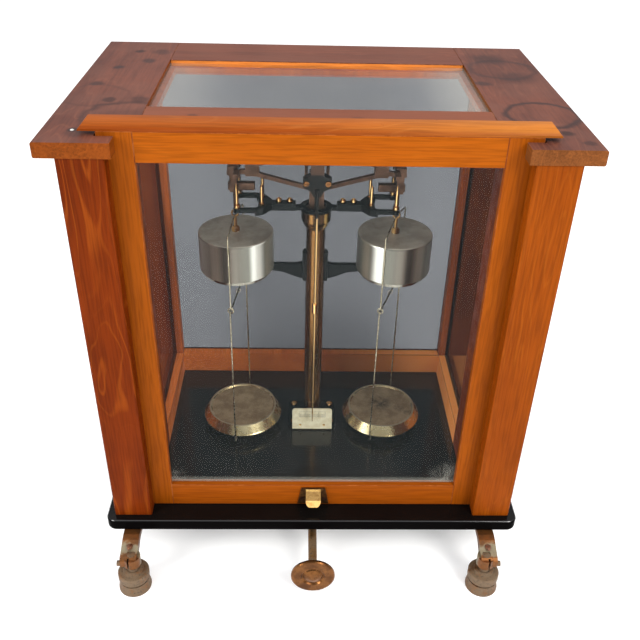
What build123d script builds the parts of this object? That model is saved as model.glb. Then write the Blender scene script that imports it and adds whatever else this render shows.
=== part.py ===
from build123d import *
import math
import os

# Two-pan analytical balance in a glazed wooden case.
# Millimetres. X runs left to right, Y front to back, Z up. The origin is on the table,
# under the middle of the bounding box.

# ---- driving dimensions ---------------------------------------------------------------
FLOOR_Z = 62.0            # top of the black base board, the floor of the weighing chamber
BASE_WIDTH = 400.0
BASE_THICKNESS = 12.5
BASE_Y = (-126.0, 165.5)
BASE_CORNER = 10.0

POST_HEIGHT = 365.0
POST_OUTER_X = 192.0
POST_INNER_X = 156.5
FRAME_INNER_X = 154.0     # inner face of the side frames
CASE_FRONT_Y = -117.5
DOOR_FRONT_Y = -103.5
DOOR_THICKNESS = 14.0
REBATE_BACK_Y = -88.0     # back of the groove that guides the door
SIDE_STILE_BACK_Y = -14.5
REAR_POST_Y = (114.5, 157.0)
RAIL_HEIGHT = 26.0
TOP_RAIL_DROP = 24.0

TOP_THICKNESS = 12.0
TOP_HALF_WIDTH = 207.0
TOP_Y = (-118.5, 161.5)
TOP_OPENING_X = 138.5
TOP_OPENING_Y = (-36.5, 98.5)
TOP_FRONT_RAIL_Y = -85.5
WING_INNER_X = 151.0

GLASS = 3.0
TOP_GLASS_DEPTH = 3.0     # how far the top pane lies under the top face
SIDE_GLASS_X = 163.0
BACK_GLASS_Y = 126.5
BACK_REBATE = 6.0         # how far the back pane reaches under its posts and rail
DOOR_HALF_WIDTH = 164.0
DOOR_GLASS_X = 137.5
DOOR_LIP = 5.5            # thickness of the wood in front of the door's pane
DOOR_REBATE = 6.0         # how far the pane reaches under the lip
DOOR_CLEARANCE = 0.5      # gap under the closed door
DOOR_TOP_Z = 442.4
MOULDING_HALF_WIDTH = 176.7
CASE_TOP_Z = 450.0

MECH_Y = 26.5             # plane of the beam, the column and the pans
ARM = 77.0                # centre knife to end knife
KNIFE_Z = FLOOR_Z + 300.0
KNIFE_GAP = 0.15          # each knife edge stands this far off its plane

COLUMN_R = 9.25
ROD_R = 3.0
RUNNING_FIT = 0.05
COLLAR_TOP_Z = FLOOR_Z + 259.5
BRACKET_TOP_Z = FLOOR_Z + 193.5

CUP_R = 36.2
CUP_Z = (FLOOR_Z + 198.0, FLOOR_Z + 236.0)
CUP_WALL = 1.2
FIXED_CYLINDER_R = 33.0
LOOP_Z = FLOOR_Z + 168.0  # where each pan bow hangs in the eyes of its upper bow
BOW_HALF = 38.0
PAN_BOW_HALF = 43.9
PAN_R = 42.3
PAN_TOP_R = 36.8
PAN_Z = (FLOOR_Z + 10.3, FLOOR_Z + 21.0)
WIRE_R = 0.75
BOW_TWIST = {"left": 7.0, "right": 20.0}   # degrees each bow stands turned on its hook

SHAFT_Z = 26.0
SHAFT_R = 4.25
KNOB_R = 21.0
KNOB_Y = (-162.5, -158.5)
CAM_R = 7.0
CAM_THROW = math.sqrt(2.0)
CAM_GAP = 0.3

FOOT_X = {"left": -173.0, "right": 167.0}
FOOT_Y = -150.0
STRAP_OFFSET = 2.2        # how far each strap stands outward of its foot
CUP_FOOT_R = 15.5
SPINDLE_R = 4.0

SIDES = {"left": -1, "right": 1}
BASE_BOTTOM_Z = FLOOR_Z - BASE_THICKNESS
TOP_BOTTOM_Z = FLOOR_Z + POST_HEIGHT
TOP_TOP_Z = TOP_BOTTOM_Z + TOP_THICKNESS
DOOR_BACK_Y = DOOR_FRONT_Y + DOOR_THICKNESS
BACK_PANE_X = FRAME_INNER_X + BACK_REBATE
BACK_PANE_LOW_Z = FLOOR_Z + RAIL_HEIGHT - BACK_REBATE

parts = {}


# ---- small helpers ----------------------------------------------------------------------
def block(x, y, z):
    """A box given by its low and high values along each axis."""
    size = [high - low for low, high in (x, y, z)]
    middle = [(high + low) / 2 for low, high in (x, y, z)]
    return Pos(*middle) * Box(*size)


def side_block(side, x, y, z):
    """A box on one side of the case: x is given as distances from the middle."""
    limits = sorted((side * x[0], side * x[1]))
    return block(limits, y, z)


def rod_z(radius, z, x=0.0, y=MECH_Y):
    height = z[1] - z[0]
    return Pos(x, y, z[0] + height / 2) * Cylinder(radius, height)


def rod_y(radius, y, x=0.0, z=0.0):
    length = y[1] - y[0]
    return Pos(x, y[0] + length / 2, z) * Rot(90, 0, 0) * Cylinder(radius, length)


def rod_x(radius, x, y, z):
    length = x[1] - x[0]
    return Pos(x[0] + length / 2, y, z) * Rot(0, 90, 0) * Cylinder(radius, length)


def turned(profile, x=0.0, y=MECH_Y):
    """Revolves a closed outline of (radius, height) points about a vertical axis."""
    face = Plane.XZ * make_face(Polyline(*profile, close=True))
    return Pos(x, y, 0) * revolve(face, Axis.Z)


def plate_z(outline, z):
    """Extrudes an outline of (x, y) points between two heights."""
    face = Plane.XY.offset(z[0]) * make_face(Polyline(*outline, close=True))
    return extrude(face, z[1] - z[0])


def plate_y(outline, y):
    """Extrudes an outline of (x, z) points from front to back."""
    plane = Plane(origin=(0, y[1], 0), x_dir=(1, 0, 0), z_dir=(0, -1, 0))
    return extrude(plane * make_face(Polyline(*outline, close=True)), y[1] - y[0])


def plate_x(outline, x):
    """Extrudes an outline of (y, z) points from left to right."""
    plane = Plane(origin=(x[0], 0, 0), x_dir=(0, 1, 0), z_dir=(1, 0, 0))
    return extrude(plane * make_face(Polyline(*outline, close=True)), x[1] - x[0])


def wire(points, radius, bend):
    """A round wire along straight runs joined by arcs."""
    path = FilletPolyline(*points, radius=bend)
    start = Plane(origin=path @ 0, z_dir=path % 0)
    return sweep(start * Circle(radius), path)


def eased(solid, radius, axis=None):
    """Rounds the edges of a board, all of them or those along one axis."""
    edges = solid.edges() if axis is None else solid.edges().filter_by(axis)
    return fillet(edges, radius)


def mirrored(outline, side):
    return [(side * a, b) for a, b in outline]


def group(solids):
    return Compound(children=list(solids))


# ---- the case ----------------------------------------------------------------------------
def make_base():
    board = block((-BASE_WIDTH / 2, BASE_WIDTH / 2), BASE_Y, (BASE_BOTTOM_Z, FLOOR_Z))
    board = fillet(board.edges().filter_by(Axis.Z), BASE_CORNER)
    rims = board.faces().sort_by(Axis.Z)
    board = fillet(rims[-1].edges() + rims[0].edges(), 2.5)
    lift_rod_hole = rod_z(ROD_R + 1.5, (BASE_BOTTOM_Z - 1, FLOOR_Z + 1))
    parts["base_board"] = board - lift_rod_hole


def make_posts():
    web_x = DOOR_HALF_WIDTH + 1.5
    groove_front_y = DOOR_FRONT_Y - 0.5
    front = [
        (POST_INNER_X, CASE_FRONT_Y),
        (POST_OUTER_X, CASE_FRONT_Y),
        (POST_OUTER_X, REBATE_BACK_Y),
        (web_x, REBATE_BACK_Y),
        (web_x, groove_front_y),
        (POST_INNER_X, groove_front_y),
    ]
    height = (FLOOR_Z, TOP_BOTTOM_Z)
    for name, side in SIDES.items():
        post = plate_z(mirrored(front, side), height)
        corners = post.edges().filter_by(Axis.Z).group_by(Axis.Y)[0]
        parts[f"{name}_front_post"] = fillet(corners, 1.2)
        rear = side_block(side, (FRAME_INNER_X, POST_OUTER_X), REAR_POST_Y, height)
        rebate_y = (BACK_GLASS_Y - GLASS / 2, REAR_POST_Y[1] + 1)
        rear_rebate = side_block(side, (FRAME_INNER_X - 1, BACK_PANE_X), rebate_y, height)
        parts[f"{name}_rear_post"] = eased(rear, 1.2, Axis.Z) - rear_rebate
    stile_y = (REBATE_BACK_Y, SIDE_STILE_BACK_Y)
    stile_x = (FRAME_INNER_X, POST_OUTER_X)
    parts["side_stiles"] = group(
        side_block(side, stile_x, stile_y, height) for side in SIDES.values()
    )


def make_rails():
    side_y = (SIDE_STILE_BACK_Y, REAR_POST_Y[0])
    side_x = (FRAME_INNER_X, POST_OUTER_X)
    bottom_z = (FLOOR_Z, FLOOR_Z + RAIL_HEIGHT)
    top_z = (TOP_BOTTOM_Z - TOP_RAIL_DROP, TOP_BOTTOM_Z)
    lip_back = BACK_GLASS_Y - GLASS / 2
    back_rail = block((-FRAME_INNER_X, FRAME_INNER_X), (REAR_POST_Y[0], lip_back), bottom_z)
    back_rail += block((-BACK_PANE_X, BACK_PANE_X), (lip_back, lip_back + 8.0),
                       (FLOOR_Z, BACK_PANE_LOW_Z))
    bottom_rails = [side_block(side, side_x, side_y, bottom_z) for side in SIDES.values()]
    parts["bottom_rails"] = group(bottom_rails + [back_rail])
    parts["top_rails"] = group(
        side_block(side, side_x, side_y, top_z) for side in SIDES.values()
    )


def make_case_glass():
    z = (FLOOR_Z + RAIL_HEIGHT, TOP_BOTTOM_Z - TOP_RAIL_DROP)
    side_x = (SIDE_GLASS_X - GLASS / 2, SIDE_GLASS_X + GLASS / 2)
    side_y = (SIDE_STILE_BACK_Y, REAR_POST_Y[0])
    panes = [side_block(side, side_x, side_y, z) for side in SIDES.values()]
    parts["side_glasses"] = group(panes)
    back_y = (BACK_GLASS_Y - GLASS / 2, BACK_GLASS_Y + GLASS / 2)
    back_z = (BACK_PANE_LOW_Z, TOP_BOTTOM_Z)
    parts["back_glass"] = block((-BACK_PANE_X, BACK_PANE_X), back_y, back_z)
    top_z = (TOP_TOP_Z - TOP_GLASS_DEPTH - GLASS, TOP_TOP_Z - TOP_GLASS_DEPTH)
    top_x = (-TOP_OPENING_X, TOP_OPENING_X)
    parts["top_glass"] = block(top_x, TOP_OPENING_Y, top_z)


def make_glazing_beads():
    """Strips that hold the side, back and top panes, each a separate stick."""
    bead = 5.0
    low = FLOOR_Z + RAIL_HEIGHT
    high = TOP_BOTTOM_Z - TOP_RAIL_DROP
    sticks = []
    outer = SIDE_GLASS_X + GLASS / 2
    for side in SIDES.values():
        x = (outer, outer + bead)
        y = (SIDE_STILE_BACK_Y, REAR_POST_Y[0])
        sticks.append(side_block(side, x, y, (low, low + bead)))
        sticks.append(side_block(side, x, y, (high - bead, high)))
        upright_z = (low + bead, high - bead)
        sticks.append(side_block(side, x, (y[0], y[0] + bead), upright_z))
        sticks.append(side_block(side, x, (y[1] - bead, y[1]), upright_z))
    back_y = (BACK_GLASS_Y + GLASS / 2, BACK_GLASS_Y + GLASS / 2 + bead)
    thin = 2.0
    span = (-BACK_PANE_X, BACK_PANE_X)
    upright_z = (BACK_PANE_LOW_Z + thin, TOP_BOTTOM_Z - thin)
    sticks.append(block(span, back_y, (BACK_PANE_LOW_Z, upright_z[0])))
    sticks.append(block(span, back_y, (upright_z[1], TOP_BOTTOM_Z)))
    for side in SIDES.values():
        x = (BACK_PANE_X - thin, BACK_PANE_X)
        sticks.append(side_block(side, x, back_y, upright_z))
    under = (TOP_BOTTOM_Z, TOP_TOP_Z - TOP_GLASS_DEPTH - GLASS)
    width = (-TOP_OPENING_X, TOP_OPENING_X)
    front, back = TOP_OPENING_Y
    sticks.append(block(width, (front, front + bead), under))
    sticks.append(block(width, (back - bead, back), under))
    for side in SIDES.values():
        x = (TOP_OPENING_X - bead, TOP_OPENING_X)
        sticks.append(side_block(side, x, (front + bead, back - bead), under))
    parts["glazing_beads"] = group(sticks)


def make_top():
    """Two end boards with notches for the door, and the rails between them."""
    z = (TOP_BOTTOM_Z, TOP_TOP_Z)
    slot_x = DOOR_HALF_WIDTH + 1.5
    slot_front = DOOR_FRONT_Y - 0.5
    outline = [
        (WING_INNER_X, TOP_Y[0]),
        (TOP_HALF_WIDTH, TOP_Y[0]),
        (TOP_HALF_WIDTH, TOP_Y[1]),
        (TOP_OPENING_X, TOP_Y[1]),
        (TOP_OPENING_X, REBATE_BACK_Y),
        (slot_x, REBATE_BACK_Y),
        (slot_x, slot_front),
        (WING_INNER_X, slot_front),
    ]
    for name, side in SIDES.items():
        board = plate_z(mirrored(outline, side), z)
        outer = board.edges().filter_by(Axis.Y).filter_by(
            lambda edge: abs(abs(edge.center().X) - TOP_HALF_WIDTH) < 0.1
        )
        parts[f"top_{name}_board"] = fillet(outer, 1.5)
    span = (-TOP_OPENING_X, TOP_OPENING_X)
    parts["top_front_rail"] = block(span, (TOP_FRONT_RAIL_Y, TOP_OPENING_Y[0]), z)
    parts["top_back_rail"] = block(span, (TOP_OPENING_Y[1], TOP_Y[1]), z)


# ---- the sliding front door ---------------------------------------------------------------
def make_door():
    """A rebated frame: the pane lies behind a front lip and reaches under it all round."""
    bottom = FLOOR_Z + DOOR_CLEARANCE
    glass_front = DOOR_FRONT_Y + DOOR_LIP
    lip_y = (DOOR_FRONT_Y, glass_front)
    back_y = (glass_front, DOOR_BACK_Y)
    low = FLOOR_Z + 26.3
    high = FLOOR_Z + 356.3
    stiles = []
    for side in SIDES.values():
        height = (bottom, DOOR_TOP_Z)
        lip = side_block(side, (DOOR_GLASS_X, DOOR_HALF_WIDTH), lip_y, height)
        back = side_block(side, (DOOR_GLASS_X + DOOR_REBATE, DOOR_HALF_WIDTH), back_y, height)
        stiles.append(lip + back)
    parts["door_stiles"] = group(stiles)
    lip_x = (-DOOR_GLASS_X, DOOR_GLASS_X)
    back_x = (-DOOR_GLASS_X - DOOR_REBATE, DOOR_GLASS_X + DOOR_REBATE)
    lower = block(lip_x, lip_y, (bottom, low)) + block(back_x, back_y, (bottom, low - DOOR_REBATE))
    upper = block(lip_x, lip_y, (high, DOOR_TOP_Z))
    upper += block(back_x, back_y, (high + DOOR_REBATE, DOOR_TOP_Z))
    parts["door_rails"] = group([lower, upper])
    pane_z = (low - DOOR_REBATE, high + DOOR_REBATE)
    parts["door_glass"] = block(back_x, (glass_front, glass_front + GLASS), pane_z)


def make_door_moulding():
    """A quarter-round cap along the top of the door with sloping, mitred ends."""
    front_y = DOOR_FRONT_Y
    round_depth = 10.0
    crown_y = front_y + round_depth
    crown_z = CASE_TOP_Z
    nose_z = DOOR_TOP_Z + 1.6
    round_height = crown_z - nose_z
    radius = (round_depth**2 + round_height**2) / (2 * round_height)
    half_turn = math.asin(round_depth / radius) / 2
    middle = (crown_y - radius * math.sin(half_turn),
              crown_z - radius * (1 - math.cos(half_turn)))
    outline = [
        Line((front_y, DOOR_TOP_Z), (front_y, nose_z)),
        ThreePointArc((front_y, nose_z), middle, (crown_y, crown_z)),
        Line((crown_y, crown_z), (DOOR_BACK_Y, crown_z)),
        Line((DOOR_BACK_Y, crown_z), (DOOR_BACK_Y, DOOR_TOP_Z)),
        Line((DOOR_BACK_Y, DOOR_TOP_Z), (front_y, DOOR_TOP_Z)),
    ]
    plane = Plane(origin=(-MOULDING_HALF_WIDTH, 0, 0), x_dir=(0, 1, 0), z_dir=(1, 0, 0))
    strip = extrude(plane * make_face(Curve() + outline), 2 * MOULDING_HALF_WIDTH)
    slope = 7.0
    for side in SIDES.values():
        end = [
            (MOULDING_HALF_WIDTH + 1, DOOR_TOP_Z - 1),
            (MOULDING_HALF_WIDTH + 1, crown_z + 1),
            (MOULDING_HALF_WIDTH - slope, crown_z + 1),
            (MOULDING_HALF_WIDTH, DOOR_TOP_Z + 0.8),
            (MOULDING_HALF_WIDTH, DOOR_TOP_Z - 1),
        ]
        strip -= plate_y(mirrored(end, side), (front_y - 1, DOOR_BACK_Y + 1))
    parts["door_moulding"] = strip


def make_lift_tab():
    """The brass finger lift: a trapezoid plate with a curled, round-ended tongue."""
    plate_back = DOOR_FRONT_Y
    plate_front = plate_back - 1.6
    low = FLOOR_Z + 3.0
    high = FLOOR_Z + 23.5
    outline = [(-15.2, low), (15.2, low), (11.5, high), (-11.5, high)]
    plate = plate_y(outline, (plate_front, plate_back))
    tongue_profile = [
        (plate_front + 0.2, high - 0.3),
        (plate_front - 3.0, high - 1.0),
        (plate_front - 8.0, high - 8.5),
        (plate_front - 10.3, high - 16.0),
        (plate_front - 8.7, high - 16.8),
        (plate_front - 6.4, high - 9.5),
        (plate_front - 2.4, high - 3.4),
        (plate_front + 0.2, high - 3.0),
    ]
    half_width = 7.2
    tongue = plate_x(tongue_profile, (-half_width, half_width))
    tongue = fillet(tongue.edges().filter_by(Axis.X).sort_by(Axis.Y)[:3], 0.7)
    round_z = high - 16.8 + half_width
    depth = (plate_front - 12.0, plate_back)
    u_shape = rod_y(half_width, depth, z=round_z)
    u_shape += block((-half_width, half_width), depth, (round_z, high))
    tongue = tongue & u_shape
    parts["door_lift_tab"] = plate + tongue
    screws = []
    for x in (-11.0, 11.0):
        head = rod_y(2.1, (plate_front - 1.0, plate_front), x=x, z=low + 7.0)
        slot = block((x - 2.5, x + 2.5), (plate_front - 1.5, plate_front - 0.5),
                     (low + 6.7, low + 7.3))
        screws.append(head - slot)
    parts["door_tab_screws"] = group(screws)


# ---- the column and what it carries -------------------------------------------------------
def make_column():
    foot_top = FLOOR_Z + 4.0
    foot = block((-26.0, 26.0), (MECH_Y - 15.0, MECH_Y + 27.0), (FLOOR_Z, foot_top))
    foot = fillet(foot.edges().filter_by(Axis.Z), 5.0)
    socket_top = foot_top + 9.0
    foot += turned([(0, foot_top - 1), (11.6, foot_top - 1), (11.6, foot_top + 6),
                    (10.8, socket_top), (0, socket_top)])
    foot -= rod_z(COLUMN_R, (foot_top, socket_top + 1))
    foot -= rod_z(ROD_R + 1.5, (FLOOR_Z - 1, foot_top + 1))
    parts["column_foot"] = foot

    collar_bottom = FLOOR_Z + 241.5
    tube = rod_z(COLUMN_R, (foot_top, collar_bottom + 4.0))
    tube -= rod_z(6.5, (foot_top - 1, collar_bottom + 5.0))
    parts["column_tube"] = tube

    collar = turned([
        (0, collar_bottom), (10.2, collar_bottom), (10.8, collar_bottom + 1.5),
        (12.2, collar_bottom + 3.4), (12.6, collar_bottom + 5.2), (14.3, collar_bottom + 8.5),
        (14.3, COLLAR_TOP_Z), (0, COLLAR_TOP_Z),
    ])
    collar -= rod_z(COLUMN_R, (collar_bottom - 1, collar_bottom + 4.0))
    collar -= rod_z(ROD_R + RUNNING_FIT, (collar_bottom, COLLAR_TOP_Z + 1))
    parts["column_collar"] = collar


def make_beam_support():
    """Four short posts that straddle the beam and carry the centre plane."""
    plug_top = COLLAR_TOP_Z + 2.5
    plane_bottom = KNIFE_Z - 3.0
    support = rod_z(9.3, (COLLAR_TOP_Z, plug_top))
    for x in ((-6.9, -1.9), (1.9, 6.9)):
        for y in ((-7.2, -3.2), (3.2, 7.2)):
            foot = (MECH_Y + y[0], MECH_Y + y[1])
            support += block(x, foot, (plug_top - 0.5, plane_bottom))
    support -= rod_z(ROD_R + RUNNING_FIT, (COLLAR_TOP_Z - 1, plug_top + 1))
    parts["beam_support"] = support
    plane_y = (MECH_Y - 7.2, MECH_Y + 7.2)
    parts["centre_plane"] = block((-5.2, 5.2), plane_y, (plane_bottom, KNIFE_Z))


def make_damper_bracket():
    """A black casting clamped to the back of the column, with an arm under each damper."""
    arm_y = (MECH_Y + 10.5, MECH_Y + 15.5)
    top = BRACKET_TOP_Z
    half = [
        (0, top + 12), (9, top + 10), (13, top + 1.5), (18, top), (97, top), (97, top - 6),
        (50, top - 6.5), (32, top - 9), (20, top - 14), (10, top - 17), (0, top - 18),
    ]
    arms = plate_y(half + [(-x, z) for x, z in reversed(half[1:-1])], arm_y)
    sleeve = rod_z(12.6, (top - 11, top + 20))
    sleeve -= block((-20, 20), (MECH_Y - 20, MECH_Y - 3), (top - 30, top + 30))
    bracket = sleeve + arms
    bracket -= rod_z(COLUMN_R, (top - 40, top + 40))
    parts["damper_bracket"] = bracket

    pots = []
    floor = 2.0
    for side in SIDES.values():
        x = side * ARM
        pot = rod_z(FIXED_CYLINDER_R, (top, FLOOR_Z + 226.0), x=x)
        pot -= rod_z(FIXED_CYLINDER_R - CUP_WALL, (top + floor, FLOOR_Z + 227.0), x=x)
        pots.append(pot)
    parts["damper_cylinders"] = group(pots)


def make_column_screws():
    """Four foot screws and the clamp screw of the damper bracket."""
    foot_top = FLOOR_Z + 4.0
    screws = []
    for x in (-20.0, 20.0):
        for y in (MECH_Y - 9.0, MECH_Y + 21.0):
            head = turned([(0, foot_top), (3.6, foot_top), (3.6, foot_top + 1.2),
                           (2.6, foot_top + 2.4), (0, foot_top + 2.8)], x=x, y=y)
            slot = block((x - 4, x + 4), (y - 0.45, y + 0.45), (foot_top + 1.7, foot_top + 4))
            screws.append(head - slot)
    clamp_y = MECH_Y + 15.5
    screws.append(rod_y(4.0, (clamp_y, clamp_y + 4.0), z=BRACKET_TOP_Z - 4.0))
    parts["column_screws"] = group(screws)


def make_scale():
    """The ivory pointer scale, leaning back on a small bracket in front of the column."""
    width = 43.5
    height = 25.0
    thickness = 1.6
    low = FLOOR_Z + 2.0
    front_y = MECH_Y - 19.5
    corner = 3.0
    face = Rectangle(width, height)
    face = fillet(face.vertices().group_by(Axis.Y)[-1], corner)
    for x in (-13.0, 13.0):
        face -= Pos(x, -height / 2 + 4.6) * Circle(1.5)
    lean = math.radians(10.0)
    up = Vector(0, math.sin(lean), math.cos(lean))
    middle = Vector(0, front_y, low) + up * (height / 2)
    plane = Plane(origin=middle, x_dir=(1, 0, 0), z_dir=up.cross(Vector(1, 0, 0)) * -1)
    parts["scale_plate"] = extrude(plane * face, -thickness)
    back_low = front_y + thickness / math.cos(lean)
    rise = 18.0
    bracket = plate_x([
        (back_low + 0.05, low), (back_low + 0.05 + rise * math.tan(lean), low + rise),
        (back_low + 2.0 + rise * math.tan(lean), low + rise), (back_low + 2.2, low + 2.0),
        (MECH_Y - 15.0, low + 2.0), (MECH_Y - 15.0, FLOOR_Z), (back_low + 0.05, FLOOR_Z),
    ], (-17.0, 17.0))
    parts["scale_bracket"] = bracket


# ---- the arrestment -------------------------------------------------------------------------
def make_arrestment_drive():
    rim = KNOB_Y
    dish = turned([
        (0, 0), (KNOB_R - 1.0, 0), (KNOB_R, 1.0), (KNOB_R, 3.0), (KNOB_R - 1.0, 4.0),
        (11.6, 4.0), (10.4, 2.6), (9.4, 2.6), (8.2, 3.6), (4.5, 4.6), (0, 4.8),
    ], y=0)
    place = Pos(0, rim[1], SHAFT_Z) * Rot(90, 0, 0)
    parts["arrest_knob"] = place * dish
    shaft = rod_y(SHAFT_R, (rim[1], MECH_Y + 28.0), z=SHAFT_Z)
    offset = CAM_THROW / math.sqrt(2.0)
    cam = rod_y(CAM_R, (MECH_Y - 5.0, MECH_Y + 5.0), x=-offset, z=SHAFT_Z - offset)
    parts["arrest_shaft"] = shaft + cam
    hangers = []
    for y in ((-94.0, -82.0), (MECH_Y + 12.0, MECH_Y + 24.0)):
        hanger = block((-10.0, 10.0), y, (SHAFT_Z - 8.0, BASE_BOTTOM_Z))
        hanger += block((-18.0, 18.0), y, (BASE_BOTTOM_Z - 4.0, BASE_BOTTOM_Z))
        hangers.append(hanger - rod_y(SHAFT_R + RUNNING_FIT, (y[0] - 1, y[1] + 1), z=SHAFT_Z))
    parts["shaft_hangers"] = group(hangers)


FRAME_BAR_Z = (FLOOR_Z + 259.5, FLOOR_Z + 263.0)
FRAME_ARM_Z = (FLOOR_Z + 263.4, FLOOR_Z + 267.4)
FRAME_ARM_Y = 16.8
OUTER_PILLAR_X = 73.5
INNER_PILLAR_X = 51.0
INNER_PILLAR_Y = 9.0
RING_R = (10.0, 15.0)


def make_lift_rod():
    foot = SHAFT_Z - CAM_THROW / math.sqrt(2.0) + CAM_R + CAM_GAP
    top = FLOOR_Z + 262.2
    parts["lift_rod"] = rod_z(5.0, (foot, foot + 3.0)) + rod_z(ROD_R, (foot + 2.0, top))


def make_arrest_frame():
    """The black casting that lifts the stirrups and the beam off their knives."""
    ring_z = (FLOOR_Z + 260.5, FLOOR_Z + 263.5)
    frame = rod_z(RING_R[1], ring_z) - rod_z(RING_R[0], (ring_z[0] - 1, ring_z[1] + 1))
    crossbar_z = (FLOOR_Z + 262.2, FLOOR_Z + 265.0)
    frame += block((-1.5, 1.5), (MECH_Y - 11.5, MECH_Y + 11.5), crossbar_z)
    fork_root = 45.0
    for side in SIDES.values():
        bar_y = (MECH_Y - 3.5, MECH_Y + 3.5)
        frame += side_block(side, (14.6, fork_root), bar_y, FRAME_BAR_Z)
        pad_y = (MECH_Y - 4.5, MECH_Y + 4.5)
        pad = side_block(side, (19.5, fork_root - 1), pad_y, (FRAME_BAR_Z[0], FLOOR_Z + 266.5))
        frame += fillet(pad.edges().filter_by(Axis.Y), 1.0)
        web = [(42.0, -4.5), (49.5, -FRAME_ARM_Y + 1.0), (57.0, -FRAME_ARM_Y - 2.0),
               (57.0, -FRAME_ARM_Y + 2.0), (54.5, -FRAME_ARM_Y + 4.0), (54.5, FRAME_ARM_Y - 4.0),
               (57.0, FRAME_ARM_Y - 2.0), (57.0, FRAME_ARM_Y + 2.0), (49.5, FRAME_ARM_Y - 1.0),
               (42.0, 4.5)]
        outline = [(side * x, MECH_Y + y) for x, y in web]
        frame += plate_z(outline, (FLOOR_Z + 260.4, FRAME_ARM_Z[1]))
        for row in (-1, 1):
            y = MECH_Y + row * FRAME_ARM_Y
            frame += side_block(side, (55.0, OUTER_PILLAR_X + 1), (y - 2, y + 2), FRAME_ARM_Z)
            frame += rod_z(3.4, FRAME_ARM_Z, x=side * OUTER_PILLAR_X, y=y)
    parts["arrest_frame"] = frame

    pillars = []
    base = FRAME_ARM_Z[1]
    outer = [(0, 0), (2.6, 0), (3.3, 1.6), (3.1, 3.4), (1.9, 5.0), (1.7, 20.0), (1.2, 22.5),
             (0.4, 24.6), (0, 24.6)]
    inner = [(0, 0), (2.4, 0), (2.4, 2.0), (1.6, 3.2), (1.6, 18.6), (0.6, 20.6), (0, 20.6)]
    for side in SIDES.values():
        for row in (-1, 1):
            profile = [(r, base + z) for r, z in outer]
            x = side * OUTER_PILLAR_X
            pillars.append(turned(profile, x=x, y=MECH_Y + row * FRAME_ARM_Y))
            profile = [(r, base + z) for r, z in inner]
            x = side * INNER_PILLAR_X
            pillars.append(turned(profile, x=x, y=MECH_Y + row * INNER_PILLAR_Y))
    parts["arrest_pillars"] = group(pillars)

    screws = []
    seat = FLOOR_Z + 266.5
    for side in SIDES.values():
        for x in (25.0, 35.2):
            head = turned([(0, seat), (2.5, seat), (3.1, seat + 1.6), (3.0, seat + 2.6),
                           (1.8, seat + 4.0), (0, seat + 4.4)], x=side * x)
            slot = block((side * x - 3.5, side * x + 3.5), (MECH_Y - 0.35, MECH_Y + 0.35),
                         (seat + 3.2, seat + 5.0))
            screws.append(head - slot)
    parts["arrest_frame_screws"] = group(screws)


# ---- the beam ---------------------------------------------------------------------------------
BEAM_HALF_THICKNESS = 2.5
CHORD_END_X = 66.0
LOWER_APEX_Z = KNIFE_Z - 20.5
UPPER_APEX_Z = KNIFE_Z + 21.0
HUB_TOP_Z = KNIFE_Z + 30.0
CHORD_WIDTH = 3.6
END_BLOCK_X = (53.0, 66.0)
END_BLOCK_Y = 4.0
END_BLOCK_Z = (KNIFE_Z - 6.5, KNIFE_Z + 6.0)
POINTER_Y = MECH_Y - 23.0


def strut(start, end, width):
    """A flat bar of the beam between two (x, z) points."""
    dx = end[0] - start[0]
    dz = end[1] - start[1]
    length = math.hypot(dx, dz)
    nx = -dz / length * width / 2
    nz = dx / length * width / 2
    outline = [(start[0] + nx, start[1] + nz), (end[0] + nx, end[1] + nz),
               (end[0] - nx, end[1] - nz), (start[0] - nx, start[1] - nz)]
    return plate_y(outline, (MECH_Y - BEAM_HALF_THICKNESS, MECH_Y + BEAM_HALF_THICKNESS))


def make_beam():
    thickness = (MECH_Y - BEAM_HALF_THICKNESS, MECH_Y + BEAM_HALF_THICKNESS)
    lower_end = KNIFE_Z - 2.6
    upper_end = KNIFE_Z + 1.0
    beam = block((-9.0, 9.0), thickness, (KNIFE_Z + 4.0, HUB_TOP_Z))
    for side in SIDES.values():
        beam += strut((0, LOWER_APEX_Z), (side * CHORD_END_X, lower_end), CHORD_WIDTH)
        beam += strut((0, UPPER_APEX_Z), (side * CHORD_END_X, upper_end), CHORD_WIDTH)
        beam += side_block(side, (8.6, 11.4), thickness, (LOWER_APEX_Z + 2.0, KNIFE_Z + 18.0))
        end_y = (MECH_Y - END_BLOCK_Y, MECH_Y + END_BLOCK_Y)
        beam += side_block(side, END_BLOCK_X, end_y, END_BLOCK_Z)
        tip = [(64.0, KNIFE_Z - 5.0), (83.0, KNIFE_Z - 6.5), (83.0, KNIFE_Z - 2.0),
               (80.0, KNIFE_Z - 2.0), (79.5, KNIFE_Z - 3.0), (74.5, KNIFE_Z - 3.0),
               (74.0, KNIFE_Z - 2.0), (66.4, KNIFE_Z - 1.2), (64.0, KNIFE_Z + 2.2)]
        beam += plate_y(mirrored(tip, side), thickness)
    stub_y = (MECH_Y - 15.0, MECH_Y)
    beam += rod_y(4.0, stub_y, z=KNIFE_Z + 9.0)
    knife_seat = [(-3.0, KNIFE_Z + 3.0), (3.0, KNIFE_Z + 3.0), (3.0, KNIFE_Z + 6.0),
                  (-3.0, KNIFE_Z + 6.0)]
    beam -= plate_y(knife_seat, (MECH_Y - 8.0, MECH_Y + 8.0))
    parts["beam"] = beam


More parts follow.
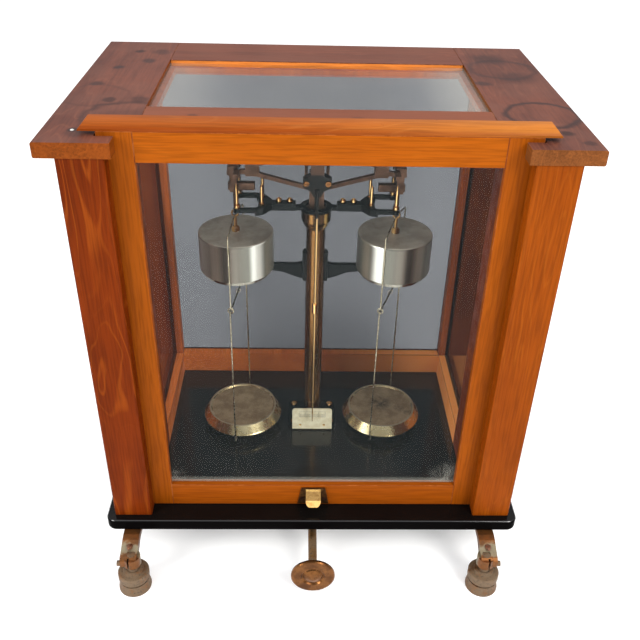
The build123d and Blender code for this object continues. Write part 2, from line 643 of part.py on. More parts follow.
def make_knives():
    """The centre knife points down; the two end knives point up."""
    edge = KNIFE_Z + KNIFE_GAP
    centre = [(0, edge), (3.0, KNIFE_Z + 4.0), (3.0, KNIFE_Z + 6.0), (-3.0, KNIFE_Z + 6.0),
              (-3.0, KNIFE_Z + 4.0)]
    knives = [plate_y(centre, (MECH_Y - 6.6, MECH_Y + 6.6))]
    for side in SIDES.values():
        x = side * ARM
        tip = KNIFE_Z - KNIFE_GAP
        end = [(x - 2.5, KNIFE_Z - 3.0), (x + 2.5, KNIFE_Z - 3.0), (x, tip)]
        knives.append(plate_y(end, (MECH_Y - 4.6, MECH_Y + 4.6)))
    parts["beam_knives"] = group(knives)


def make_pointer():
    """A block on the beam's front stub, and the needle that hangs in front of the column."""
    block_y = (MECH_Y - 23.0, MECH_Y - 15.0)
    half = [(6.0, KNIFE_Z + 14.0), (6.0, KNIFE_Z + 2.5), (13.0, KNIFE_Z - 0.5),
            (13.0, KNIFE_Z - 8.5), (6.0, KNIFE_Z - 12.5), (3.2, KNIFE_Z - 18.0)]
    head = plate_y(half + mirrored(reversed(half), -1), block_y)
    tip_z = FLOOR_Z + 16.0
    needle_top = KNIFE_Z - 10.0
    needle = turned([(0, tip_z), (0.35, tip_z), (0.7, tip_z + 12.0), (1.25, KNIFE_Z - 36.0),
                     (1.9, KNIFE_Z - 17.0), (1.9, needle_top), (0, needle_top)], y=POINTER_Y)
    parts["pointer"] = head + needle
    weight_z = FLOOR_Z + 157.0
    weight = turned([(0, weight_z), (2.2, weight_z), (2.85, weight_z + 1.0),
                     (2.85, weight_z + 10.4), (2.2, weight_z + 11.4), (0, weight_z + 11.4)],
                    y=POINTER_Y)
    parts["pointer_weight"] = weight - parts["pointer"]


def make_beam_nuts():
    """Sensitivity nut on top, two balancing nuts beside it, and the block's two screws."""
    top = HUB_TOP_Z
    pieces = [rod_z(1.2, (top, top + 16.0)) + rod_z(4.0, (top + 4.0, top + 9.0))]
    thread_z = HUB_TOP_Z - 3.4
    for side in SIDES.values():
        nut_x = sorted((side * 12.0, side * 15.5))
        thread_x = sorted((side * 9.0, side * 26.0))
        thread = rod_x(1.1, thread_x, MECH_Y, thread_z)
        pieces.append(rod_x(3.2, nut_x, MECH_Y, thread_z) + thread)
        front = MECH_Y - 23.0
        head = rod_y(2.6, (front - 1.6, front), x=side * 9.8, z=KNIFE_Z - 4.6)
        slot = block((side * 9.8 - 3, side * 9.8 + 3), (front - 2, front - 1.0),
                     (KNIFE_Z - 4.95, KNIFE_Z - 4.25))
        pieces.append(head - slot)
    parts["beam_nuts"] = group(pieces)


# ---- stirrups, damper cups and pans -------------------------------------------------------------
def about_hanger(solid, name):
    """Turns what is built in the plane x = 0 about its own hook and moves it to its side."""
    place = Pos(SIDES[name] * ARM, MECH_Y, 0) * Rot(0, 0, -BOW_TWIST[name])
    return place * solid


UPPER_RING_Z = FLOOR_Z + 258.5
LOWER_RING_Z = FLOOR_Z + 254.55
RING_TUBE = (3.0, 1.0)


def make_stirrup(name):
    side = SIDES[name]
    top = (KNIFE_Z, KNIFE_Z + 4.0)
    low = (FLOOR_Z + 279.0, FLOOR_Z + 286.5)
    deep = (MECH_Y - 7.2, MECH_Y + 7.2)
    body = side_block(side, (ARM - 5.0, ARM + 5.0), deep, top)
    body += side_block(side, (ARM - 3.4, ARM + 3.4), deep, (low[0], low[0] + 4.0))
    bar = side_block(side, (ARM - 19.5, ARM + 5.5), (MECH_Y - 3.0, MECH_Y + 3.0), low)
    body += eased(bar, 0.8)
    for y in ((deep[0], deep[0] + 1.8), (deep[1] - 1.8, deep[1])):
        body += side_block(side, (ARM - 3.4, ARM + 3.4), y, (low[0], top[1]))
    pad_x = (OUTER_PILLAR_X - 2.4, OUTER_PILLAR_X + 2.4)
    pad_z = (KNIFE_Z - 2.5, KNIFE_Z + 1.5)
    reach = FRAME_ARM_Y + 2.6
    body += side_block(side, pad_x, (MECH_Y - reach, MECH_Y - 7.0), pad_z)
    body += side_block(side, pad_x, (MECH_Y + 7.0, MECH_Y + reach), pad_z)
    body += rod_z(1.2, (UPPER_RING_Z + 2.6, low[0] + 0.5), x=side * ARM)
    link = Pos(0, 0, UPPER_RING_Z) * Rot(0, 90, 0) * Torus(*RING_TUBE)
    parts[f"{name}_stirrup"] = body + about_hanger(link, name)


def make_damper_cup(name):
    low, high = CUP_Z
    edge = 1.4
    outer = [(0, high), (CUP_R - edge, high), (CUP_R - 0.4, high - 0.4), (CUP_R, high - edge),
             (CUP_R, low), (CUP_R - CUP_WALL, low), (CUP_R - CUP_WALL, high - 1.5),
             (0, high - 1.5)]
    cup = turned(outer, x=0, y=0)
    nut = turned([(0, high - 0.5), (4.0, high - 0.5), (4.0, high + 3.2), (2.6, high + 5.0),
                  (1.5, high + 5.0), (1.5, LOWER_RING_Z - 2.6), (0, LOWER_RING_Z - 2.6)],
                 x=0, y=0)
    eye = Pos(0, 0, LOWER_RING_Z) * Rot(90, 0, 0) * Torus(*RING_TUBE)
    parts[f"{name}_damper_cup"] = about_hanger(cup + nut + eye, name)


def make_hanger_bow(name):
    """The upper bow: over the damper cup in front and behind, with an eye at each end."""
    eye_r = 2.6
    shoulder_z = FLOOR_Z + 246.5
    crown_z = LOWER_RING_Z - 1.2
    path = [(0, -BOW_HALF, LOOP_Z + eye_r), (0, -BOW_HALF, shoulder_z), (0, -5.0, crown_z),
            (0, 5.0, crown_z), (0, BOW_HALF, shoulder_z), (0, BOW_HALF, LOOP_Z + eye_r)]
    bow = wire(path, WIRE_R, 2.5)
    for y in (-BOW_HALF, BOW_HALF):
        bow += Pos(0, y, LOOP_Z) * Rot(90, 0, 0) * Torus(eye_r, WIRE_R)
    parts[f"{name}_hanger_bow"] = about_hanger(bow, name)


def make_pan_bow(name):
    """The lower bow: a crossbar through both eyes, down each side and under the pan."""
    under_z = PAN_Z[0] - 5.7
    tip_y = PAN_R - 2.1
    top_y = BOW_HALF + 3.4
    halves = []
    for row in (-1, 1):
        path = [(0, 0, LOOP_Z), (0, row * top_y, LOOP_Z), (0, row * PAN_BOW_HALF, PAN_Z[1]),
                (0, row * PAN_BOW_HALF, under_z), (0, row * tip_y, under_z),
                (0, row * tip_y, PAN_Z[0] - 0.1)]
        halves.append(wire(path, WIRE_R, 1.4))
    parts[f"{name}_pan_bow"] = about_hanger(halves[0] + halves[1], name)


def make_pan(name):
    """A shallow dish with a bevelled skirt, hollow underneath, with a lip for the bow."""
    low, high = PAN_Z
    dish = 1.2
    wall = 1.6
    lip_r = PAN_R - 4.4
    pan = turned([
        (0, high - dish), (PAN_TOP_R - 3.0, high - dish), (PAN_TOP_R - 2.0, high - 0.3),
        (PAN_TOP_R - 1.0, high), (PAN_TOP_R, high - 0.3), (PAN_R - 0.5, low + 1.6),
        (PAN_R, low + 1.0), (PAN_R, low), (lip_r, low), (lip_r, low + wall),
        (PAN_R - 2.8, low + wall + 0.4), (PAN_TOP_R - 1.6, high - dish - wall),
        (0, high - dish - wall),
    ], x=0, y=0)
    parts[f"{name}_pan"] = about_hanger(pan, name)


# ---- levelling feet ---------------------------------------------------------------------------
def make_feet():
    brackets = []
    screws = []
    cups = []
    for name, side in SIDES.items():
        x = FOOT_X[name]
        strap_x = x + side * STRAP_OFFSET
        strap = plate_x([
            (FOOT_Y + 62.0, BASE_BOTTOM_Z), (FOOT_Y + 19.0, BASE_BOTTOM_Z),
            (FOOT_Y + 13.0, BASE_BOTTOM_Z - 1.0), (FOOT_Y + 4.0, BASE_BOTTOM_Z - 4.5),
            (FOOT_Y - 4.0, BASE_BOTTOM_Z - 6.5), (FOOT_Y - 6.5, BASE_BOTTOM_Z - 9.0),
            (FOOT_Y - 6.5, BASE_BOTTOM_Z - 17.0), (FOOT_Y + 6.0, BASE_BOTTOM_Z - 17.0),
            (FOOT_Y + 9.0, BASE_BOTTOM_Z - 11.0), (FOOT_Y + 16.0, BASE_BOTTOM_Z - 7.0),
            (FOOT_Y + 22.0, BASE_BOTTOM_Z - 5.5), (FOOT_Y + 62.0, BASE_BOTTOM_Z - 5.5),
        ], (strap_x - 7.9, strap_x + 7.9))
        strap = fillet(strap.edges().filter_by(Axis.X).filter_by(
            lambda edge: edge.center().Y < FOOT_Y + 20.0), 1.2)
        boss_z = (BASE_BOTTOM_Z - 18.5, BASE_BOTTOM_Z - 8.0)
        bracket = strap + rod_z(8.4, boss_z, x=x, y=FOOT_Y)
        bracket -= rod_z(SPINDLE_R + RUNNING_FIT, (boss_z[0] - 1, BASE_BOTTOM_Z - 5.0),
                         x=x, y=FOOT_Y)
        slot_x = (strap_x - 0.9, strap_x + 0.9)
        bracket -= block(slot_x, (FOOT_Y - 12.0, FOOT_Y), (boss_z[0] - 1, BASE_BOTTOM_Z - 7.0))
        brackets.append(bracket)

        clamp_z = BASE_BOTTOM_Z - 14.0
        clamp_y = FOOT_Y - 4.0
        head_x = sorted((strap_x + side * 7.0, strap_x + side * 11.0))
        screws.append(rod_x(2.6, head_x, clamp_y, clamp_z) - bracket)

        pad_top = 11.0
        cup = turned([(0, 0), (CUP_FOOT_R, 0), (CUP_FOOT_R, 1.5), (14.6, 6.0), (14.2, pad_top),
                      (6.0, pad_top), (6.0, pad_top - 3.0), (0, pad_top - 4.0)], x=x, y=FOOT_Y)
        cups.append(cup)

        wheel = turned([
            (0, pad_top - 2.6), (3.0, pad_top - 1.0), (3.0, pad_top + 0.3), (12.4, pad_top + 0.3),
            (12.4, pad_top + 1.8), (14.6, pad_top + 2.2), (14.8, pad_top + 3.4),
            (14.8, pad_top + 9.2), (13.6, pad_top + 10.2), (10.0, pad_top + 10.6),
            (9.2, pad_top + 12.8), (6.8, pad_top + 13.6), (5.2, pad_top + 13.2),
            (SPINDLE_R, pad_top + 14.0), (SPINDLE_R, BASE_BOTTOM_Z - 6.0),
            (0, BASE_BOTTOM_Z - 6.0),
        ], x=x, y=FOOT_Y)
        parts[f"{name}_levelling_screw"] = wheel
    parts["foot_brackets"] = group(brackets)
    parts["foot_clamp_screws"] = group(screws)
    parts["foot_cups"] = group(cups)
    rear_y = 128.0
    parts["rear_foot"] = turned([
        (0, 0), (CUP_FOOT_R, 0), (CUP_FOOT_R, 2.0), (13.5, 9.0), (9.0, 11.0), (9.0, 40.0),
        (16.0, 44.0), (16.0, BASE_BOTTOM_Z), (0, BASE_BOTTOM_Z),
    ], x=0.0, y=rear_y)


make_base()
make_posts()
make_rails()
make_case_glass()
make_glazing_beads()
make_top()
make_door()
make_door_moulding()
make_lift_tab()
make_column()
make_beam_support()
make_damper_bracket()
make_column_screws()
make_scale()
make_arrestment_drive()
make_lift_rod()
make_arrest_frame()
make_beam()
make_knives()
make_pointer()
make_beam_nuts()
for hanger in SIDES:
    make_stirrup(hanger)
    make_damper_cup(hanger)
    make_hanger_bow(hanger)
    make_pan_bow(hanger)
    make_pan(hanger)
make_feet()

os.makedirs("parts", exist_ok=True)
for node, shape in parts.items():
    export_step(shape, f"parts/{node}.step")
print(len(parts), "nodes written")
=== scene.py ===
import math

import bmesh
import bpy
from mathutils import Matrix, Vector


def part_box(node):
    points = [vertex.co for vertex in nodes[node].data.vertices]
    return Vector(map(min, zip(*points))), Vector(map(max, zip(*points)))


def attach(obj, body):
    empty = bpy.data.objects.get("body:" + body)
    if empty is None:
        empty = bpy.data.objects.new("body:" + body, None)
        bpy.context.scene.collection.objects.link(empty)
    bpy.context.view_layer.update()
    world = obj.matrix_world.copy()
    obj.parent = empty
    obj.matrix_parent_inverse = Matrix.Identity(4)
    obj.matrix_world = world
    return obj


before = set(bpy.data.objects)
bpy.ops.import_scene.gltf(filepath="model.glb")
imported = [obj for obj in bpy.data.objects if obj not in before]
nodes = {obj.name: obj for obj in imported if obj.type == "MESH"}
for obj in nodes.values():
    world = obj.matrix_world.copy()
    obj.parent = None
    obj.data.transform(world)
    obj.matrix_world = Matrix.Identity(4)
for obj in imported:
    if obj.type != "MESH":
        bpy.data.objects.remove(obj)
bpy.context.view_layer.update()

# An analytical balance: a varnished wooden case with glass panes on a black board, and in it
# a brass column with a beam, two damper cups and two pans. Metres, +Z up, +Y to the back.

MM = 0.001
SIDES = {"left": -1, "right": 1}


# ---- places read from the frame -----------------------------------------------------------
door_front, door_back = (corner.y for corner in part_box("door_stiles"))
door_glass_low, door_glass_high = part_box("door_glass")
moulding_low, moulding_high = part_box("door_moulding")
board_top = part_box("top_left_board")[1].z
collar_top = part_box("column_collar")[1].z
pointer_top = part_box("pointer")[1].z
brackets_low, brackets_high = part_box("foot_brackets")
scale_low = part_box("scale_plate")[0]

# Sizes inside CAD nodes, which their boxes don't give.
GLASS_REBATE = 6.0 * MM  # how far the door's wood laps over its pane
CUP_HEIGHT = 38.0 * MM  # from a damper cup's lower edge to the top of its lid
CUP_NUT_REACH = 4.5 * MM  # how far the gilt nut reaches from the cup's axis
BRONZE_HEAD = 10.5 * MM  # from the pointer's top down to where its head is black
TAB_PLATE = 1.6 * MM  # how far the finger lift's plate stands off the door
BOW_WIRE_RADIUS = 0.75 * MM
DISH_EDGE_SHARE = 0.85  # where the dish's edge runs, as a share of the pan's radius
STRAP_SLOPE = 13.0 * MM  # from a foot strap's front edge back to its slope
SCALE_LEAN = math.radians(10)

# Places on the case.
PIN_PLACE = (-0.1831, -0.0927)
CASE_MIDDLE = Vector((0, 0, 0.25))


# ---- colours --------------------------------------------------------------------------------
def tone(red, green, blue):
    """A linear colour from the 0 to 255 values that a screen shows."""
    channels = []
    for value in (red, green, blue):
        share = value / 255
        low = share / 12.92
        high = ((share + 0.055) / 1.055) ** 2.4
        channels.append(low if share <= 0.04045 else high)
    return (*channels, 1.0)


def shade_of(color, share):
    """The same colour, lighter or darker by a share."""
    return (*(min(channel * share, 1.0) for channel in color[:3]), 1.0)


BLACK = tone(0, 0, 0)
WHITE = tone(255, 255, 255)
DUST = tone(206, 202, 190)
STAIN = tone(46, 27, 24)
GRIME = tone(60, 48, 38)
TARNISH_AND_SHADE = tone(70, 46, 24)
ORANGE_DARK = tone(146, 71, 8)
ORANGE = tone(155, 78, 10)
ORANGE_LIGHT = tone(172, 93, 16)
RED_DARK = tone(88, 30, 3)
RED = tone(111, 42, 5)
RED_LIGHT = tone(150, 72, 16)
AMBER_DARK = tone(116, 50, 5)
AMBER = tone(139, 65, 8)
AMBER_LIGHT = tone(168, 92, 22)
INNER_DARK = tone(130, 54, 20)
INNER = tone(166, 80, 32)
INNER_LIGHT = tone(184, 98, 44)
SILL_DARK = tone(178, 88, 34)
SILL = tone(204, 110, 46)
SILL_LIGHT = tone(222, 134, 66)
HONEY_LEFT = tone(136, 64, 11)
HONEY_RIGHT = tone(180, 108, 38)
TOP_DARK = tone(82, 42, 30)
TOP_BROWN = tone(106, 57, 40)
TOP_PALE = tone(132, 78, 54)
TOP_GREY = tone(100, 66, 56)
TOP_WARM = tone(150, 76, 26)


# ---- node helpers -----------------------------------------------------------------------------
class Shade:
    """A material under construction, with short names for the nodes that it uses."""

    def __init__(self, name):
        self.material = bpy.data.materials.new(name)
        self.material.use_nodes = True
        self.tree = self.material.node_tree
        self.tree.nodes.clear()
        self.output = self.node("ShaderNodeOutputMaterial")
        self.place = self.node("ShaderNodeTexCoord").outputs["Object"]

    def node(self, kind, **settings):
        """A new node. settings are its own properties, such as its operation."""
        node = self.tree.nodes.new(kind)
        for name, value in settings.items():
            setattr(node, name, value)
        return node

    def link(self, source, target):
        self.tree.links.new(source, target)

    def feed(self, socket, value):
        """Sets a socket to a plain value or links it to another node's output."""
        if isinstance(value, bpy.types.NodeSocket):
            self.link(value, socket)
        else:
            socket.default_value = value

    def math(self, operation, a, b=0.0, clamp=False):
        node = self.node("ShaderNodeMath", operation=operation, use_clamp=clamp)
        self.feed(node.inputs[0], a)
        self.feed(node.inputs[1], b)
        return node.outputs[0]

    def plus(self, a, b):
        return self.math("ADD", a, b)

    def times(self, a, b):
        return self.math("MULTIPLY", a, b)

    def apart(self, value, centre):
        """How far a value is from a centre, on either side of it."""
        return self.math("ABSOLUTE", self.math("SUBTRACT", value, centre))

    def mapped(self, offset=(0, 0, 0), scale=(1, 1, 1), source=None):
        node = self.node("ShaderNodeMapping")
        self.link(source or self.place, node.inputs["Vector"])
        node.inputs["Location"].default_value = offset
        node.inputs["Scale"].default_value = scale
        return node.outputs[0]

    def noise(self, vector, scale, detail=3.0, rough=0.55, distortion=0.0):
        """Cloudy noise. scale is how many clouds a metre holds."""
        node = self.node("ShaderNodeTexNoise")
        self.link(vector, node.inputs["Vector"])
        node.inputs["Scale"].default_value = scale
        node.inputs["Detail"].default_value = detail
        node.inputs["Roughness"].default_value = rough
        node.inputs["Distortion"].default_value = distortion
        return node.outputs["Fac"]

    def wave(self, vector, scale, distortion, **settings):
        """Even bands or rings, as settings say. scale is how many a metre holds."""
        node = self.node("ShaderNodeTexWave", **settings)
        self.link(vector, node.inputs["Vector"])
        node.inputs["Scale"].default_value = scale
        node.inputs["Distortion"].default_value = distortion
        return node

    def ramp(self, value, low, high, out_low=0.0, out_high=1.0):
        """Maps low..high to out_low..out_high with a soft start and end."""
        node = self.node("ShaderNodeMapRange", interpolation_type="SMOOTHSTEP")
        self.feed(node.inputs["Value"], value)
        node.inputs["From Min"].default_value = low
        node.inputs["From Max"].default_value = high
        node.inputs["To Min"].default_value = out_low
        node.inputs["To Max"].default_value = out_high
        return node.outputs["Result"]

    def mix(self, share, a, b, blend="MIX"):
        node = self.node("ShaderNodeMix", data_type="RGBA", blend_type=blend)
        self.feed(node.inputs["Factor"], share)
        self.feed(node.inputs["A"], a)
        self.feed(node.inputs["B"], b)
        return node.outputs["Result"]

    def axis(self, vector, name):
        """The X, Y or Z of a vector."""
        node = self.node("ShaderNodeSeparateXYZ")
        self.link(vector, node.inputs[0])
        return node.outputs[name]

    def along(self, direction):
        """The place along "X", "Y" or "Z", or with "outward X" its distance from X = 0."""
        place = self.axis(self.place, direction[-1])
        if direction.startswith("outward"):
            return self.math("ABSOLUTE", place)
        return place

    def normal_axis(self, name):
        """Which way the surface faces: the X, Y or Z of its normal."""
        return self.axis(self.node("ShaderNodeNewGeometry").outputs["Normal"], name)

    def upward(self, low=0.6, high=0.95):
        """1 on faces that look up and 0 on upright ones."""
        return self.ramp(self.normal_axis("Z"), low, high)

    def distance(self, point, source=None, flat=True):
        """How far the surface is from a point, measured over the floor plan if flat."""
        spot = Vector(point)
        scale = (1, 1, 0) if flat else (1, 1, 1)
        if flat:
            spot.z = 0
        node = self.node("ShaderNodeVectorMath", operation="DISTANCE")
        self.link(self.mapped(scale=scale, source=source), node.inputs[0])
        node.inputs[1].default_value = spot
        return node.outputs["Value"]

    def bump(self, height, strength, depth):
        node = self.node("ShaderNodeBump")
        node.inputs["Strength"].default_value = strength
        node.inputs["Distance"].default_value = depth
        self.link(height, node.inputs["Height"])
        return node.outputs["Normal"]

    def surface(self, color, roughness, normal=None, **plain):
        """The Principled shader. plain gives its other sockets their values."""
        node = self.node("ShaderNodeBsdfPrincipled")
        self.feed(node.inputs["Base Color"], color)
        self.feed(node.inputs["Roughness"], roughness)
        if normal is not None:
            self.link(normal, node.inputs["Normal"])
        for name, value in plain.items():
            self.feed(node.inputs[name.replace("_", " ")], value)
        return node.outputs["BSDF"]

    def blend_shaders(self, share, first, second):
        """A share of the second shader node over the first."""
        node = self.node("ShaderNodeMixShader")
        self.link(share, node.inputs[0])
        self.link(first.outputs[0], node.inputs[1])
        self.link(second.outputs[0], node.inputs[2])
        return node

    def finish(self, shader):
        self.link(shader, self.output.inputs["Surface"])
        return self.material


# ---- wood ------------------------------------------------------------------------------------
GRAIN_STRETCH = 0.04
FLAME_STRETCH = 0.16
FLAME_LINES = 19.0
STAIN_WOBBLE = 10 * MM  # how far the edges of stains wander


def stretch(axis, share):
    """A scale that draws noise out along one axis."""
    return tuple(share if name == axis else 1.0 for name in "XYZ")


def wood_color(shade, axis, offset, dark, middle, light, figure):
    """Grain along one axis: slow clouds, thin flame lines and fine pore streaks.

    offset picks the piece of the pattern, and figure is how clear the flame lines are.
    """
    place = shade.mapped(offset=offset)
    along = shade.mapped(scale=stretch(axis, GRAIN_STRETCH), source=place)
    clouds = shade.noise(along, 34.0, 3.0, 0.6, 0.5)
    broad = shade.noise(place, 10.0, 3.0, 0.55)
    clouds = shade.plus(shade.times(clouds, 0.5), shade.times(broad, 0.5))
    flames = shade.mapped(scale=stretch(axis, FLAME_STRETCH), source=place)
    field = shade.noise(flames, 20.0, 3.0, 0.5, 0.35)
    contour = shade.math("PINGPONG", shade.times(field, FLAME_LINES), 0.5)
    elsewhere = shade.mapped(offset=(5, 2, 7), source=place)
    patch = shade.ramp(shade.noise(elsewhere, 7.0, 2.0), 0.40, 0.56)
    lines = shade.times(shade.ramp(contour, 0.33, 0.5, 0.0, figure), patch)
    streaks = shade.noise(along, 620.0, 2.0, 0.6)
    color = shade.mix(shade.ramp(clouds, 0.34, 0.66), dark, middle)
    color = shade.mix(lines, color, light)
    pores = shade.ramp(streaks, 0.34, 0.60, 0.76, 1.0)
    color = shade.mix(1.0, color, shade.mix(pores, BLACK, WHITE), "MULTIPLY")
    return color, streaks


def varnished(name, axis, offset, dark, middle, light, figure, painted_shading=None):
    """Satin varnish over wood.

    painted_shading (direction, start, end, share at start, share at end, color) tints it along a
    direction, to paint in light and shade that fall across the piece.
    """
    shade = Shade(name)
    color, streaks = wood_color(shade, axis, offset, dark, middle, light, figure)
    if painted_shading is not None:
        direction, start, end, share_start, share_end, other = painted_shading
        share = shade.ramp(shade.along(direction), start, end, share_start, share_end)
        color = shade.mix(share, color, other)
    scuffs = shade.noise(shade.place, 70.0, 4.0, 0.65)
    gloss = shade.ramp(scuffs, 0.35, 0.75, 0.34, 0.56)
    normal = shade.bump(streaks, 0.12, 0.0003)
    return shade.finish(shade.surface(color, gloss, normal, Coat_Weight=0.01,
                                      Coat_Roughness=0.14, Specular_IOR_Level=0.035))


def worn_arris(name, color, pale, share):
    """The varnish along the edges of a board, worn through to pale wood in patches."""
    shade = Shade(name)
    patches = shade.noise(shade.place, 70.0, 4.0, 0.7)
    tint = shade.mix(shade.ramp(patches, 0.46, 0.66, 0.0, share), color, pale)
    normal = shade.bump(shade.noise(shade.place, 900.0, 2.0), 0.15, 0.0003)
    return shade.finish(shade.surface(tint, 0.55, normal, Specular_IOR_Level=0.1))


def honey_moulding():
    """The moulding's lighter varnish, fading from brown at the left to honey at the right."""
    brown_grain = tone(60, 22, 6)
    pale_grain = tone(214, 150, 80)
    shaded = tone(112, 44, 6)
    # A painted highlight: the pale top of the moulding's rounded edge.
    painted_lit_top = tone(176, 104, 50)
    dent = tone(74, 34, 14)
    shade = Shade("door_moulding")
    side = shade.ramp(shade.along("X"), -0.05, 0.20)
    middle = shade.mix(side, HONEY_LEFT, HONEY_RIGHT)
    dark = shade.mix(0.22, middle, brown_grain)
    light = shade.mix(0.25, middle, pale_grain)
    color, streaks = wood_color(shade, "X", (0.5, 0.3, 0.0), dark, middle, light, 0.3)
    # Painted shade darkens the moulding's lower part, and a painted highlight lightens its top.
    height = shade.along("Z")
    lower = shade.ramp(height, moulding_low.z + 2 * MM, moulding_high.z - 3 * MM, 0.45, 0.0)
    color = shade.mix(lower, color, shaded)
    upper = shade.ramp(height, moulding_high.z - 5 * MM, moulding_high.z - 1 * MM, 0.0, 0.15)
    color = shade.mix(upper, color, painted_lit_top)
    dents = shade.noise(shade.place, 150.0, 4.0, 0.7)
    color = shade.mix(shade.ramp(dents, 0.66, 0.76, 0.0, 0.6), color, dent)
    normal = shade.bump(streaks, 0.12, 0.0003)
    return shade.finish(shade.surface(color, 0.38, normal, Specular_IOR_Level=0.08))


def stained_top(name, axis, offset, edge, warmth, rings, spots):
    """A dull, worn board: grey-purple varnish on top, in part a painted reflection, with ring
    marks and dark spots.

    edge is the colour of the board's sides, and warmth the share of honey brown in its top.
    rings hold x, y, radius, width and depth, and spots x, y, radius and depth.
    """
    shade = Shade(name)
    color, streaks = wood_color(shade, axis, offset, TOP_DARK, TOP_BROWN, TOP_PALE, 0.25)
    # The grey clouds and the grey-purple of the top are worn varnish and in part a painted
    # reflection of grey surroundings.
    clouds = shade.noise(shade.mapped(offset=(3, 1, 0)), 16.0, 4.0, 0.6)
    color = shade.mix(shade.ramp(clouds, 0.42, 0.62, 0.0, 0.45), color, TOP_GREY)
    color = shade.mix(warmth, color, TOP_WARM)
    wobble = shade.node("ShaderNodeTexNoise")
    shade.link(shade.place, wobble.inputs["Vector"])
    wobble.inputs["Scale"].default_value = 55.0
    ragged = shade.node("ShaderNodeVectorMath", operation="MULTIPLY_ADD")
    shade.link(wobble.outputs["Color"], ragged.inputs[0])
    ragged.inputs[1].default_value = (STAIN_WOBBLE, STAIN_WOBBLE, 0.0)
    back = shade.mapped(offset=(-STAIN_WOBBLE / 2, -STAIN_WOBBLE / 2, 0.0))
    shade.link(back, ragged.inputs[2])
    for x, y, radius, width, depth in rings:
        away = shade.distance((x, y, 0), ragged.outputs[0])
        share = shade.ramp(shade.apart(away, radius), 0.0, width, depth, 0.0)
        color = shade.mix(share, color, STAIN)
    for x, y, radius, depth in spots:
        away = shade.distance((x, y, 0), ragged.outputs[0])
        share = shade.ramp(away, radius * 0.35, radius, depth, 0.0)
        color = shade.mix(share, color, STAIN)
    upward = shade.upward()
    side_color, _ = wood_color(shade, axis, offset, shade_of(edge, 0.7), edge,
                               shade_of(edge, 1.4), 0.3)
    color = shade.mix(upward, side_color, color)
    gloss = shade.ramp(clouds, 0.35, 0.7, 0.44, 0.6)
    normal = shade.bump(streaks, 0.12, 0.0003)
    shine = shade.ramp(upward, 0.0, 1.0, 0.06, 0.22)
    return shade.finish(shade.surface(color, gloss, normal, Specular_IOR_Level=shine))


# ---- lacquer, glass and metals -----------------------------------------------------------------
def black_lacquer():
    """Gloss black: behind the door its upward face has a film of dust and a clear mirror."""
    lacquer = tone(8, 7, 7)
    dusty = tone(31, 26, 22)
    speck = tone(80, 76, 70)
    shade = Shade("black_lacquer")
    dust = shade.noise(shade.place, 420.0, 4.0, 0.7)
    haze = shade.noise(shade.place, 22.0, 3.0, 0.6)
    upward = shade.upward(0.6, 0.98)
    inside = shade.ramp(shade.along("Y"), door_back - 2 * MM, door_back + 2 * MM, 0.2, 1.0)
    film = shade.times(upward, shade.ramp(haze, 0.3, 0.75, 0.35, 1.0))
    film = shade.times(film, inside)
    color = shade.mix(film, lacquer, dusty)
    color = shade.mix(shade.ramp(dust, 0.66, 0.80, 0.0, 0.35), color, speck)
    gloss = shade.plus(shade.ramp(dust, 0.4, 0.8, 0.10, 0.22), shade.times(film, 0.06))
    rounded_edge = shade.times(upward, shade.math("SUBTRACT", 1.0, upward))
    flat_mirror = shade.times(shade.ramp(upward, 0.0, 1.0, 0.02, 0.50), inside)
    mirror = shade.plus(shade.times(rounded_edge, 3.2), flat_mirror)
    normal = shade.bump(shade.noise(shade.place, 60.0, 2.0), 0.04, 0.0006)
    return shade.finish(shade.surface(color, gloss, normal, Specular_IOR_Level=mirror))


def pane(name, reflect, tint=(0.97, 0.985, 0.98, 1.0), film=0.0, grime=(), fade=None,
         haze=(), painted_glow=0.0):
    """A clear pane: it shows what is behind it and mirrors a share of what is in front.

    film is an all-over share of dust, each haze (axis, low, high, depth low, depth high)
    adds a share along an axis, and each grime (point, radius, depth) one around a point.
    fade (direction, low, high, other tint) changes the tint along a direction, and painted_glow is
    the strength of a faint, even glow that the pane gives off: painted light.
    """
    shade = Shade(name)
    see = shade.node("ShaderNodeBsdfTransparent")
    see.inputs["Color"].default_value = tint
    if fade is not None:
        direction, low, high, other = fade
        share = shade.ramp(shade.along(direction), low, high)
        shade.link(shade.mix(share, tint, other), see.inputs["Color"])
    mirror = shade.node("ShaderNodeBsdfGlossy")
    mirror.inputs["Color"].default_value = WHITE
    mirror.inputs["Roughness"].default_value = 0.02
    weight = shade.node("ShaderNodeLayerWeight")
    slant = shade.math("POWER", weight.outputs["Facing"], 5.0)
    fresnel = shade.plus(shade.times(slant, 0.96), 0.04)
    clean = shade.blend_shaders(shade.math("MULTIPLY", fresnel, reflect, clamp=True), see, mirror)
    clouds = shade.noise(shade.place, 14.0, 5.0, 0.7)
    amount = shade.ramp(clouds, 0.35, 0.80, film * 0.3, film)
    for axis, low, high, depth_low, depth_high in haze:
        amount = shade.plus(amount, shade.ramp(shade.along(axis), low, high, depth_low,
                                               depth_high))
    for point, radius, depth in grime:
        near = shade.ramp(shade.distance(point, flat=False), 0.0, radius, depth, 0.0)
        mottle = shade.ramp(shade.noise(shade.place, 260.0, 4.0, 0.7), 0.42, 0.62)
        amount = shade.plus(amount, shade.times(near, mottle))
    dust = shade.node("ShaderNodeBsdfDiffuse")
    dust.inputs["Color"].default_value = DUST
    dirty = shade.blend_shaders(shade.math("MINIMUM", amount, 0.9), clean, dust)
    # Painted light: a faint blue-white glow from the pane itself.
    glow_shader = shade.node("ShaderNodeEmission")
    glow_shader.inputs["Color"].default_value = (0.72, 0.96, 1.0, 1.0)
    glow_shader.inputs["Strength"].default_value = painted_glow
    with_glow = shade.node("ShaderNodeAddShader")
    shade.link(dirty.outputs[0], with_glow.inputs[0])
    shade.link(glow_shader.outputs[0], with_glow.inputs[1])
    return shade.finish(with_glow.outputs[0])


